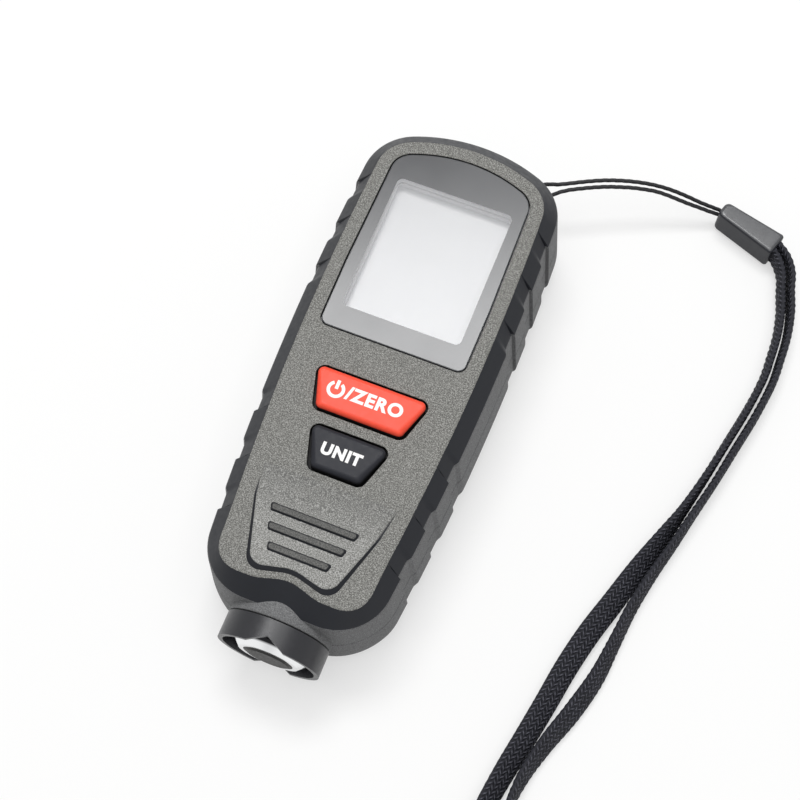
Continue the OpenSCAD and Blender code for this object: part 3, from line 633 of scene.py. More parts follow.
class Sketch:
    """Mesh under construction, in millimetres."""

    merge = 1e-4

    def __init__(self) -> None:
        """Starts an empty mesh."""
        self.bm = bmesh.new()

    def loop(self, points: list[Point]) -> Row:
        """Adds a row of vertices."""
        return [self.bm.verts.new(p) for p in points]

    def loops(self, rows: list[list[Point]]) -> list[Row]:
        """Adds several rows of vertices."""
        return [self.loop(row) for row in rows]

    def face(self, corners: Row, slot: int = 0) -> None:
        """Adds one face."""
        self.bm.faces.new(corners).material_index = slot

    def bridge(self, rows: list[Row], slot: int = 0, closed: bool = True) -> None:
        """Joins rows of equally many vertices by quads.

        Args:
            rows: Rows in order.
            slot: Material slot of the quads.
            closed: Whether each row is a loop.
        """
        for low, high in zip(rows, rows[1:]):
            n = len(low)
            for i in range(n if closed else n - 1):
                j = (i + 1) % n
                self.face((low[i], low[j], high[j], high[i]), slot)

    def fill(self, loops: list[Row], slot: int = 0) -> None:
        """Fills the area between closed loops.

        Args:
            loops: The outer loop and the loops of any holes.
            slot: Material slot of the area.
        """
        edges = []
        for row in loops:
            for a, b in zip(row, row[1:] + row[:1]):
                edges.append(self.bm.edges.get((a, b)) or self.bm.edges.new((a, b)))
        made = bmesh.ops.triangle_fill(self.bm, use_beauty=True, use_dissolve=False, edges=edges)
        for item in made["geom"]:
            if isinstance(item, bmesh.types.BMFace):
                item.material_index = slot

    def close(self, rows: list[Row], first: int = 0, second: int = 0, change: int = 0) -> None:
        """Closed solid through rows.

        Args:
            rows: Rows in order.
            first: Material slot up to the change.
            second: Material slot from there on.
            change: Row where the slots change.
        """
        self.bridge(rows[: change + 1], first)
        self.bridge(rows[change:], second)
        self.fill([rows[0]], first)
        self.fill([rows[-1]], second)

    def solid(self, rows: list[list[Point]], slot: int = 0) -> None:
        """Closed solid through a stack of outlines."""
        self.close(self.loops(rows), slot, slot)

    def piece(self, name: str, body: Body, finishes: list[str], sharp: float = 34.0) -> bpy.types.Object:
        """Ends the mesh as an object that rides on a body.

        Args:
            name: Name of the object.
            body: Body that it rides on.
            finishes: Finish of each material slot.
            sharp: Angle in degrees above which an edge stays sharp.

        Returns:
            The object.
        """
        bmesh.ops.remove_doubles(self.bm, verts=self.bm.verts, dist=self.merge)
        bmesh.ops.recalc_face_normals(self.bm, faces=self.bm.faces)
        for face in self.bm.faces:
            face.smooth = True
        for edge in self.bm.edges:
            edge.smooth = edge.is_manifold and edge.calc_face_angle(0.0) < math.radians(sharp)
        bmesh.ops.scale(self.bm, vec=(MM, MM, MM), verts=self.bm.verts)
        mesh = bpy.data.meshes.new(name)
        self.bm.to_mesh(mesh)
        self.bm.free()
        obj = bpy.data.objects.new(name, mesh)
        bpy.context.scene.collection.objects.link(obj)
        for key in finishes:
            mesh.materials.append(Paint.of(key))
        weighted = obj.modifiers.new("flat_faces", "WEIGHTED_NORMAL")
        weighted.keep_sharp = True
        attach(obj, body.value)
        LOG.info("%s: %d faces on %s", name, len(mesh.polygons), body.value)
        return obj


def baked(obj: bpy.types.Object) -> bpy.types.Mesh:
    """Mesh of an object with its modifiers applied."""
    bpy.context.view_layer.update()
    return bpy.data.meshes.new_from_object(obj.evaluated_get(bpy.context.evaluated_depsgraph_get()))


def smooth_route(points: list[tuple[float, ...]], per_step: int) -> list[tuple[float, ...]]:
    """Catmull-Rom curve through a route.

    Args:
        points: Points of the route, each with any number of values.
        per_step: Points made for each step of the route.

    Returns:
        The finer route.
    """

    def between(p: float, q: float, r: float, s: float, t: float) -> float:
        """Value at a share of the way from q to r."""
        curve = (2 * p - 5 * q + 4 * r - s) * t * t + (3 * q - p - 3 * r + s) * t**3
        return 0.5 * (2 * q + (r - p) * t + curve)

    padded = [points[0], *points, points[-1]]
    out = []
    for k in range(len(points) - 1):
        near = list(zip(*padded[k : k + 4]))
        out += [tuple(between(*v, i / per_step) for v in near) for i in range(per_step)]
    return [*out, points[-1]]


# The stage


@dataclass(frozen=True)
class Lamp:
    """Soft lamp, in metres and watts."""

    name: str
    at: Point
    target: Point
    size: Flat
    watts: float


@dataclass
class Studio:
    """Camera at the photograph's angle, pale floor and soft lamps."""

    eye: Point = (45.61, -104.79, 295.02)
    target: Point = (5.81, -4.31, 25.91)
    lens: float = 67.5
    sensor: float = 36.0
    clip: Flat = (0.01, 20.0)
    floor_half: float = 3.0
    floor_z: float = -0.0003
    floor_colour: Colour = (0.9, 0.9, 0.895)
    fill_light: float = 0.34
    seen_light: float = 0.8
    lamps: tuple[Lamp, ...] = (
        Lamp("key_lamp", at=(-0.18, 0.36, 1.0), target=(0.0, 0.0, 0.02), size=(0.5, 0.26), watts=4.4),
        Lamp("top_lamp", at=(0.0, 0.0, 1.7), target=(0.0, 0.0, 0.0), size=(1.8, 1.8), watts=17.0),
    )

    @staticmethod
    def aim(obj: bpy.types.Object, at: Vector, target: Vector) -> None:
        """Places a camera or lamp and turns it to a target.

        Args:
            obj: The camera or lamp.
            at: Its place in metres.
            target: Point that it faces.
        """
        bpy.context.scene.collection.objects.link(obj)
        obj.location = at
        obj.rotation_euler = (target - at).to_track_quat("-Z", "Y").to_euler()

    def camera(self) -> None:
        """Places the photograph's camera."""
        data = bpy.data.cameras.new("photo_camera")
        data.lens = self.lens
        data.sensor_width = self.sensor
        data.clip_start, data.clip_end = self.clip
        obj = bpy.data.objects.new("photo_camera", data)
        self.aim(obj, Vector(self.eye) * MM, Vector(self.target) * MM)
        bpy.context.scene.camera = obj

    def light(self, lamp: Lamp) -> None:
        """Adds one lamp.

        Args:
            lamp: The lamp.
        """
        data = bpy.data.lights.new(lamp.name, "AREA")
        data.shape = "RECTANGLE"
        data.size, data.size_y = lamp.size
        data.energy = lamp.watts
        obj = bpy.data.objects.new(lamp.name, data)
        self.aim(obj, Vector(lamp.at), Vector(lamp.target))

    def build(self) -> None:
        """Makes the floor, the lamps and the surroundings."""
        bpy.context.scene.view_settings.view_transform = "Standard"
        half = self.floor_half
        mesh = bpy.data.meshes.new("floor")
        mesh.from_pydata(at_z(box(half, -half, half), 0.0), [], [(0, 1, 2, 3)])
        floor = bpy.data.objects.new("floor", mesh)
        floor.location.z = self.floor_z
        bpy.context.scene.collection.objects.link(floor)
        mesh.materials.append(Glowing("floor_white", self.floor_colour).build())
        for lamp in self.lamps:
            self.light(lamp)
        world = bpy.data.worlds.new("surroundings")
        bpy.context.scene.world = world
        world.use_nodes = True
        kit = Nodes(world.node_tree)
        kit.tree.nodes.clear()
        lights = []
        for strength in (self.fill_light, self.seen_light):
            light = kit.node("Background", {"Color": WHITE, "Strength": strength})
            lights.append(light.outputs["Background"])
        kit.node("OutputWorld", {"Surface": kit.blend(kit.seen(), *lights)})


# The object


@dataclass
class Housing:
    """Both moulded shells, on the outline that the CAD source draws."""

    overall_l: float = 116.0
    body_h: float = 26.0
    shoulder_w: float = 43.1
    bevel_h: float = 3.7
    bevel_side: float = 3.2
    bevel_end: float = 3.9
    draft: float = 5.0
    side_r: float = 590.0
    side_apex_y: float = 20.0
    top_r: float = 37.0
    corner_r: float = 11.5
    heel_r: float = 11.0
    heel_gap: float = 0.2
    heel_ease: float = 1.0
    heel_cut: float = 0.5
    arc_steps: tuple[int, ...] = (12, 24, 20, 8)
    back_round_h: float = 7.0
    back_round_w: float = 4.5
    back_steps: int = 10
    back_inner: Point = (0.5, 0.3, 0.4)
    wall: float = 1.8
    roof_t: float = 2.0
    roof_drop: float = 0.9
    roof_corner: float = 1.35
    floor_t: float = 1.8
    seam: float = 0.25
    shoulder_drop: float = 0.6
    shoulder_ease: Flat = (0.22, 0.03)
    band_foot: Flat = (0.03, 0.06)
    band_shares: tuple[float, ...] = (0.14, 0.4, 0.66, 0.9)
    crown: tuple[Flat, ...] = ((0.955, 0.03), (0.985, 0.1), (1.0, 0.28))
    face_wave: float = 1.6
    notch_d: float = 0.6
    notch_l: float = 5.0
    notch_ramp: float = 1.6
    notch_step: float = 0.32
    notch_pitch: float = 10.5
    notch_count: int = 3
    notch_edge: tuple[Flat, ...] = ((0.0, 0.0), (0.25, 1.5), (0.75, 1.6), (1.0, 1.0))
    notch_ease: tuple[Flat, ...] = ((0.0, 1.0), (0.25, 0.9), (0.5, 0.5), (0.75, 0.1), (1.0, 0.0))
    upper_notch_y: float = 39.4
    lower_notch_y: float = -36.6
    plain_y: tuple[float, ...] = (7.5, 2.5, -2.5, -7.5)
    notch_slant: float = 1.0
    lens_margin: float = 2.7
    lens_bottom_y: float = 5.1
    lens_corner_r: float = 2.0
    lens_t: float = 1.4
    lens_arch: float = 1.2
    seat_lips: tuple[Flat, ...] = ((0.16, 0.0), (0.04, 0.05), (0.0, 0.18))
    key_lips: tuple[Flat, ...] = ((-0.14, 0.0), (-0.07, 0.02), (-0.02, 0.07), (0.0, 0.14))
    window: Point = (24.5, 30.5, 26.0)
    window_gap: float = 0.5
    window_r: float = 1.0
    sleeve_r: float = 10.4
    plug_r: float = 8.8
    plug_gap: float = 0.1
    collar_y: float = -52.25
    collar_edge: tuple[Flat, ...] = ((-0.35, 0.0), (-0.1, 0.1), (0.0, 0.35))
    collar_steps: int = 36
    plug_end_y: float = -46.45
    cover: Point = (12.2, -10.2, 42.2)
    cover_gap: float = 0.3
    scoop_r: float = 10.0
    scoop_z: float = -9.2
    scoop_steps: tuple[int, int] = (20, 5)
    bay: Point = (11.0, -9.0, 41.0)
    bay_wall: float = 2.4
    bay_step: float = 0.01
    bay_top_z: float = 12.8
    case_spots: tuple[Flat, ...] = ((6.5, 49.8), (12.9, -36.0))
    screw_r: float = 1.3
    screw_well: tuple[Flat, ...] = ((2.65, 0.0), (2.45, 0.06), (2.4, 0.25), (2.4, 5.0), (1.3, 5.0))
    post_r: float = 3.2
    post_gap: float = 0.02
    lanyard_x: tuple[float, ...] = (11.3, 14.8)
    lanyard_z: float = 9.5
    lanyard_r: float = 1.1
    lanyard_reach: Flat = (-5.0, 4.0)
    shoulder_z: float = field(init=False)
    split_z: float = field(init=False)
    roof_z: float = field(init=False)
    heel_y: float = field(init=False)
    top_y: float = field(init=False)
    side_c: Flat = field(init=False)
    top_c: Flat = field(init=False)
    corner_c: Flat = field(init=False)
    heel_c: Flat = field(init=False)

    def __post_init__(self) -> None:
        """Works out the heights and the centres of the outline's arcs."""
        self.shoulder_z = self.body_h - self.bevel_h
        self.split_z = self.body_h / 2
        self.roof_z = self.body_h - self.roof_t
        self.heel_y = self.collar_y + self.heel_gap + self.flare(self.back_round_h)
        self.top_y = self.overall_l / 2 - self.flare(self.back_round_h)
        self.side_c = (self.shoulder_w / 2 - self.side_r, self.side_apex_y)
        self.top_c = (0.0, self.top_y - self.top_r)
        within = (self.top_r - self.corner_r, self.side_r - self.corner_r)
        self.corner_c = self.meet(self.top_c, within[0], self.side_c, within[1])
        reach = self.heel_y + self.heel_r
        self.heel_c = (self.half_w(reach, self.heel_r), reach)

    def flare(self, z: float) -> float:
        """How far the draft carries the wall out at a height."""
        return math.tan(math.radians(self.draft)) * (self.shoulder_z - z)

    @staticmethod
    def meet(a: Flat, ra: float, b: Flat, rb: float) -> Flat:
        """Upper crossing of two circles.

        Args:
            a: Centre of the first.
            ra: Its radius.
            b: Centre of the second.
            rb: Its radius.

        Returns:
            The crossing.
        """
        d = math.dist(a, b)
        k = (d * d + ra * ra - rb * rb) / (2 * d)
        h = math.sqrt(ra * ra - k * k)
        e = ((b[0] - a[0]) / d, (b[1] - a[1]) / d)
        both = [(a[0] + e[0] * k + s * e[1] * h, a[1] + e[1] * k - s * e[0] * h) for s in (1, -1)]
        return max(both, key=lambda p: p[1])

    def half_w(self, y: float, inset: float) -> float:
        """Half width of the housing at one place along it."""
        return self.side_c[0] + math.sqrt((self.side_r - inset) ** 2 - (y - self.side_apex_y) ** 2)

    def notches(self) -> list[Point]:
        """Places along the side, with the share of depth and slant at each.

        Returns:
            Place, depth share and slant share, from the strap end down.
        """
        run = self.notch_l - self.notch_ramp
        shape = [(self.notch_step * t, share) for t, share in self.notch_edge]
        shape += [(run / 2, 1.0), *[(run + self.notch_ramp * t, share) for t, share in self.notch_ease]]
        places = [(i * self.notch_pitch + t, share) for i in range(self.notch_count) for t, share in shape]
        upper = [(self.upper_notch_y - t, share, 1.0) for t, share in places]
        lower = [(self.lower_notch_y + t, share, 1.0) for t, share in reversed(places)]
        return [*upper, *[(y, 0.0, 0.0) for y in self.plain_y], *lower]

    def half_outline(
        self, side_in: float, end_in: float, deep: float, wave: float, ease: float = 0.0
    ) -> list[Flat]:
        """Right half of the outline, from the strap end's middle to the probe end's.

        Args:
            side_in: Inset along the sides.
            end_in: Inset at the ends.
            deep: Share of the notches' depth.
            wave: How far the probe end's middle bows in.
            ease: How far the heel's corner reaches out past its arc.

        Returns:
            Points of the half outline.
        """

        def mix(degrees: float) -> float:
            """Inset in one direction."""
            turn = math.radians(degrees)
            return side_in * math.cos(turn) ** 2 + end_in * math.sin(turn) ** 2

        top, corner, heel, foot = self.arc_steps
        slant = (1 - deep) * self.notch_slant
        corner_a = direction(self.top_c, self.corner_c)
        side_a = direction(self.side_c, self.corner_c)
        heel_a = direction(self.side_c, self.heel_c)
        out = []
        for i in range(top):
            a = 90 + (corner_a - 90) * i / top
            out.append(polar(self.top_c, self.top_r - mix(a), a))
        for i in range(corner + 1):
            a = corner_a + (side_a - corner_a) * i / corner
            out.append(polar(self.corner_c, self.corner_r - mix(a), a))
        for y, share, lean in self.notches():
            out.append((self.half_w(y, side_in + deep * share * self.notch_d), y + lean * slant))
        for i in range(heel + 1):
            a = heel_a + (-90 - heel_a) * i / heel
            reach = ease * math.sin(2 * math.radians(a)) ** 2
            out.append(polar(self.heel_c, self.heel_r - mix(a) + reach, a))
        for i in range(1, foot + 1):
            x = self.heel_c[0] * (1 - i / foot)
            out.append((x, self.heel_y + end_in + wave * (1 + math.cos(math.pi * x / self.heel_c[0])) / 2))
        return out

    @staticmethod
    def both_halves(half: list[Flat]) -> list[Flat]:
        """Whole outline from its right half."""
        return half + [(-p[0], p[1]) for p in reversed(half) if abs(p[0]) > ON_AXIS]

    def ring(self, z: float, *shape: float) -> list[Point]:
        """Whole outline at a height; the shape's values are those of half_outline."""
        return at_z(self.both_halves(self.half_outline(*shape)), z)

    def even(self, z: float, inset: float, deep: float = 1.0) -> list[Point]:
        """Outline with one inset all round."""
        return self.ring(z, inset, inset, deep, 0.0, self.heel_cut * min(0.0, inset))

    def drafted(self, z: float, inset: float = 0.0, deep: float = 1.0) -> list[Point]:
        """Outline on the drafted wall, or inside it by an inset."""
        return self.even(z, inset - self.flare(z), deep)

    def bevel(self, share: float, extra: float = 0.0) -> list[Point]:
        """Outline at a share of the way up the bevel band.

        Args:
            share: Share of the band's height.
            extra: More inset.

        Returns:
            Points of the outline.
        """
        z = self.shoulder_z + self.bevel_h * share
        sides, ends = self.bevel_side * share + extra, self.bevel_end * share + extra
        return self.ring(z, sides, ends, 1 - share, self.face_wave * share, self.heel_ease * share)

    def lens_outline(self, grow: float) -> list[Flat]:
        """Outline of the lens, taken from the face's own outline.

        Args:
            grow: How far it is grown.

        Returns:
            Points of the outline.
        """
        side_in = self.bevel_side + self.lens_margin - grow
        low = self.lens_bottom_y - grow
        edge = self.half_outline(side_in, self.bevel_end + self.lens_margin - grow, 0, 0)
        arch = [p for p in edge if p[1] > self.upper_notch_y + self.lens_arch]
        middle = (self.half_w(self.side_apex_y, side_in), self.side_apex_y)
        corner = (self.half_w(low, side_in), low)
        turn = fillet(middle, corner, (0.0, low), self.lens_corner_r + grow)
        return self.both_halves([*arch, middle, *turn])

    def collar(self, sketch: Sketch, first: float) -> None:
        """Half of the collar round the probe's sleeve.

        Args:
            sketch: Mesh that takes it.
            first: Direction in degrees of its first edge.
        """
        bore, end = self.plug_r + self.plug_gap, self.plug_end_y
        edge = [(self.sleeve_r + inset, self.collar_y + up) for inset, up in self.collar_edge]
        profile = [(bore, self.collar_y), *edge, (self.sleeve_r, end), (bore, end)]
        rows = []
        for i in range(self.collar_steps + 1):
            a = math.radians(first + 180 * i / self.collar_steps)
            row = [(r * math.cos(a), y, self.split_z + r * math.sin(a)) for r, y in profile]
            rows.append(sketch.loop(row))
        sketch.bridge(rows, Zone.WALL)
        for row in (rows[0], rows[-1]):
            sketch.face(row, Zone.WALL)

    def front(self, keys: list["Key"], pad: "ThumbPad") -> None:
        """Makes the front shell.

        Args:
            keys: Keys that pass through it.
            pad: Raised pad on its face.
        """
        sketch = Sketch()
        split, top = self.split_z, self.body_h
        drop, inset = self.shoulder_ease
        walls = [self.drafted(split, self.seam), self.drafted(split + self.seam)]
        walls += [self.drafted(self.shoulder_z - self.shoulder_drop)]
        walls += [self.even(self.shoulder_z - drop, inset), self.bevel(*self.band_foot)]
        low = sketch.loops(walls)
        mid = sketch.loops([self.bevel(share) for share in self.band_shares])
        high = sketch.loops([self.bevel(*step) for step in self.crown])
        sketch.bridge(low, Zone.WALL)
        sketch.bridge([low[-1], *mid, high[0]], Zone.BAND)
        sketch.bridge(high, Zone.GRAIN)
        slope = 1 - self.roof_t / self.bevel_h
        corner = self.roof_corner * self.wall
        insets = [reach * slope + corner for reach in (self.bevel_side, self.bevel_end)]
        inner = [self.drafted(split, self.wall, 0.0)]
        inner += [self.even(self.shoulder_z - self.roof_drop, self.wall, 0.0)]
        inner += [self.ring(self.roof_z, *insets, 0.0, 0.0)]
        inside = sketch.loops(inner)
        sketch.bridge([low[0], *inside], Zone.INSIDE)
        seat_steps = [*self.seat_lips, (0.0, self.lens_t)]
        seat = sketch.loops([at_z(self.lens_outline(grow), top - d) for grow, d in seat_steps])
        sketch.bridge(seat[:-1], Zone.GRAIN)
        sketch.bridge(seat[-2:], Zone.INSIDE)
        gap = box_outline(self.window, self.window_gap, self.window_r)
        window = sketch.loops([at_z(gap, top - self.lens_t), at_z(gap, self.roof_z)])
        sketch.bridge(window, Zone.BEZEL)
        sketch.fill([seat[-1], window[0]], Zone.BEZEL)
        face_holes, roof_holes = [seat[0]], [window[1]]
        for key in keys:
            key_steps = [*self.key_lips, (0.0, self.roof_t)]
            rows = sketch.loops([at_z(key.outline(shrink), top - d) for shrink, d in key_steps])
            sketch.bridge(rows[:-1], Zone.GRAIN)
            # The walls below the lip take the near-black inside finish, painted shade in the gap round the
            # key.
            sketch.bridge(rows[-2:], Zone.INSIDE)
            face_holes.append(rows[0])
            roof_holes.append(rows[-1])
        sketch.fill([high[-1], *face_holes], Zone.GRAIN)
        sketch.fill([inside[-1], *roof_holes], Zone.INSIDE)
        pad.add(sketch, top)
        self.collar(sketch, 0.0)
        obj = sketch.piece("front_case", Body.HOUSING, SHELL_FINISHES, sharp=12.0)
        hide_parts("front_shell")

    def hatch(self, sketch: Sketch) -> tuple[Row, Row]:
        """Opening of the battery cover with the finger scoop at its probe end.

        Args:
            sketch: The shell's mesh.

        Returns:
            Edge on the back face, and edge on the ledge inside.
        """
        gap = self.cover_gap
        hx, low, high = self.cover[0] + gap, self.cover[1] - gap, self.cover[2] + gap
        round_steps, down_steps = self.scoop_steps
        reach = math.sqrt(self.scoop_r**2 - self.scoop_z**2)
        arc = [polar((0.0, low), reach, 180 + 180 * i / round_steps) for i in range(round_steps + 1)]
        rest = [(hx, low), (hx, high), (-hx, high), (-hx, low)]

        def dish(p: Flat) -> float:
            """Height of the scoop's surface over a point."""
            return max(0.0, math.sqrt(self.scoop_r**2 - p[0] ** 2 - (p[1] - low) ** 2) + self.scoop_z)

        line = [(p[0], low) for p in arc]
        rim = sketch.loop(at_z([*arc, *rest], 0.0))
        start = sketch.loop([*[(*p, dish(p)) for p in line], *at_z(rest, 0.0)])
        ledge = sketch.loop(at_z([*line, *rest], self.floor_t + self.bay_step))
        sketch.bridge([start, ledge], Zone.INSIDE)
        rows = [sketch.loop(at_z(arc[1:-1], 0.0))]
        for k in range(1, down_steps + 1):
            row = [(p[0], low + (p[1] - low) * (1 - k / down_steps)) for p in arc[1:-1]]
            rows.append(sketch.loop([(*p, dish(p)) for p in row]))
        sketch.bridge(rows, Zone.WALL, closed=False)
        for end in (0, -1):
            corner = sketch.loop([(*arc[end], 0.0)])[0]
            for a, b in zip(rows, rows[1:]):
                sketch.face((a[end], b[end], corner), Zone.WALL)
        return rim, ledge

    def rear(self) -> None:
        """Makes the rear shell with its battery bay, screw wells and lanyard holes."""
        sketch = Sketch()
        split, tall = self.split_z, self.back_round_h
        out = []
        for sine, cosine in reversed(quarter(self.back_steps)):
            inset = self.back_round_w * (1 - cosine) - self.flare(tall)
            out.append(self.even(tall * (1 - sine), inset, 1 - sine))
        out += [self.drafted(split - self.seam), self.drafted(split, self.seam)]
        outer = sketch.loops(out)
        sketch.bridge(outer, Zone.WALL)
        up, mid_in, low_in = self.back_inner
        inner = [self.drafted(split, self.wall, 0.0), self.drafted(tall, self.wall, 0.0)]
        for z, inset in (
            (tall * up, mid_in * self.back_round_w + self.wall),
            (self.floor_t, self.back_round_w + low_in * self.wall),
        ):
            inner.append(self.even(z, inset - self.flare(tall), 0.0))
        inside = sketch.loops(inner)
        sketch.bridge([outer[-1], *inside], Zone.INSIDE)
        rim, ledge = self.hatch(sketch)
        bx, low, high = self.bay
        thick = self.bay_wall
        well, block = box(bx, low, high), box(bx + thick, low - thick, high + thick)
        levels = [(well, self.floor_t + self.bay_step), (well, self.bay_top_z)]
        levels += [(block, self.bay_top_z), (block, self.floor_t)]
        bay = sketch.loops([at_z(outline, z) for outline, z in levels])
        sketch.bridge(bay, Zone.INSIDE)
        sketch.fill([ledge, bay[0]], Zone.INSIDE)
        floor_holes, base_holes = [bay[-1]], [rim]
        top = split - self.post_gap
        steps = [*self.screw_well, (self.screw_r, top), (self.post_r, top), (self.post_r, self.floor_t)]
        for spot in [(s * x, y) for x, y in self.case_spots for s in (1, -1)]:
            post = sketch.loops([at_z(circle(spot, r), z) for r, z in steps])
            sketch.bridge(post, Zone.WALL)
            base_holes.append(post[0])
            floor_holes.append(post[-1])
        sketch.fill([outer[0], *base_holes], Zone.WALL)
        sketch.fill([inside[-1], *floor_holes], Zone.INSIDE)
        self.collar(sketch, 180.0)
        obj = sketch.piece("rear_case", Body.HOUSING, SHELL_FINISHES)
        self.pierce(obj)
        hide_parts("rear_shell")

    def pierce(self, shell: bpy.types.Object) -> None:
        """Cuts the lanyard holes through the strap end's wall.

        Args:
            shell: The rear shell.
        """
        sketch = Sketch()
        for x in self.lanyard_x:
            hole = circle((x, self.lanyard_z), self.lanyard_r, HOLE_STEPS)
            sketch.solid([[(p[0], self.top_y + y, p[1]) for p in hole] for y in self.lanyard_reach])
        tool = sketch.piece("lanyard_cutter", Body.HOUSING, ["inside_and_gap_shade"])
        cut = shell.modifiers.new("lanyard_holes", "BOOLEAN")
        cut.operation = "DIFFERENCE"
        cut.solver = "EXACT"
        cut.object = tool
        mesh = baked(shell)
        shell.modifiers.clear()
        shell.data = mesh
        bpy.data.objects.remove(tool)


@dataclass
class ThumbPad:
    """Raised shield with three ribs near the probe end."""

    height: float = 1.2
    sunk: float = 0.05
    half_w: float = 12.3
    half_l: float = 9.0
    top_half_w: float = 13.9
    top_y: float = -24.6
    bottom_y: float = -44.8
    toe: Flat = (0.66, -0.4)
    waist_up: float = 2.5
    dip: float = 1.6
    corner_r: tuple[float, ...] = (2.8, 12, 0.3, 0.3, 12, 2.8, 7)
    root: Flat = (-1.3, 0.02)
    lips: tuple[Flat, ...] = ((0.05, 0.2), (0.18, 0.06), (0.45, 0.0))
    draft: float = 0.75
    draft_power: float = 0.6
    rib_w: float = 1.5
    rib_h: float = 0.6
    rib_r: float = 0.42
    rib_root: Flat = (-0.12, -1.0)
    rib_edge: Flat = (0.06, 0.08)
    rib_draft: float = 0.26
    rib_slant: float = 0.5
    ribs: tuple[Flat, ...] = ((-33.3, 17.8), (-37.0, 15.8), (-40.7, 12.8))

    def rise(self, y: float) -> float:
        """Height of the pad over the face at one place along it."""
        return self.height * (self.top_y - y) / (self.top_y - self.bottom_y) - self.sunk

    def grown(self, p: Flat, by: float) -> Flat:
        """Point carried out from the pad's middle."""
        mid = (self.top_y + self.bottom_y) / 2
        return p[0] * (1 + by / self.half_w), mid + (p[1] - mid) * (1 + by / self.half_l)

    def outline(self, shrink: float) -> list[Flat]:
        """Outline of the shield.

        Args:
            shrink: How far it is drawn in.

        Returns:
            Points of the outline.
        """
        waist = (self.half_w, (self.top_y + self.bottom_y) / 2 + self.waist_up)
        toe = (self.toe[0] * self.half_w, self.bottom_y + self.toe[1])
        half = [toe, waist, (self.top_half_w, self.top_y)]
        points = [*half, *[(-p[0], p[1]) for p in reversed(half)], (0.0, self.bottom_y + self.dip)]
        return [self.grown(p, -shrink) for p in rounded(points, list(self.corner_r), 12)]

    def bar(self, y: float, length: float, shrink: float) -> list[Flat]:
        """Outline of one rib with slanted ends.

        Args:
            y: Place along the housing.
            length: Length of its longer edge.
            shrink: How far it is drawn in.

        Returns:
            Points of the outline.
        """
        near, far = y - self.rib_w / 2 + shrink, y + self.rib_w / 2 - shrink
        half, short = length / 2 - shrink, length / 2 - self.rib_slant - shrink
        return rounded([(-short, near), (short, near), (half, far), (-half, far)], [self.rib_r] * 4, 5)

    def foot(self) -> list[Flat]:
        """Outline where the pad's sloped wall meets the face.

        Returns:
            Points of the outline, wider where the pad stands higher.
        """
        out = []
        for p in self.outline(0.0):
            share = max(0.0, self.rise(p[1])) / self.height
            out.append(self.grown(p, self.draft * share**self.draft_power))
        return out

    def add(self, sketch: Sketch, face_z: float) -> None:
        """Adds the pad and its ribs to the front shell's mesh.

        Args:
            sketch: The shell's mesh.
            face_z: Height of the face.
        """
        rows = [at_z(self.foot(), face_z + z) for z in self.root]
        # The pad's top takes the pad finish, which is painted light.
        for shrink, drop in self.lips:
            rows.append([(x, y, face_z + self.rise(y) - drop) for x, y in self.outline(shrink)])
        # The pad's sloped wall takes the smooth dark band finish: partly its own smooth surface, partly
        # painted shade.
        sketch.close(sketch.loops(rows), Zone.BAND, Zone.PAD, change=2)
        grow, down = self.rib_root
        back, under = self.rib_edge
        for y, length in self.ribs:
            base = face_z + self.rise(y)
            top = base + self.rib_h
            steps = [(grow, face_z + down), (grow, base)]
            steps += [(self.rib_draft - back, top - under), (self.rib_draft, top)]
            bars = sketch.loops([at_z(self.bar(y, length, shrink), z) for shrink, z in steps])
            # Each rib's wall and foot take the smooth dark band finish as painted shade; its top takes the
            # rib finish.
            sketch.close(bars, Zone.BAND, Zone.RIB, change=2)


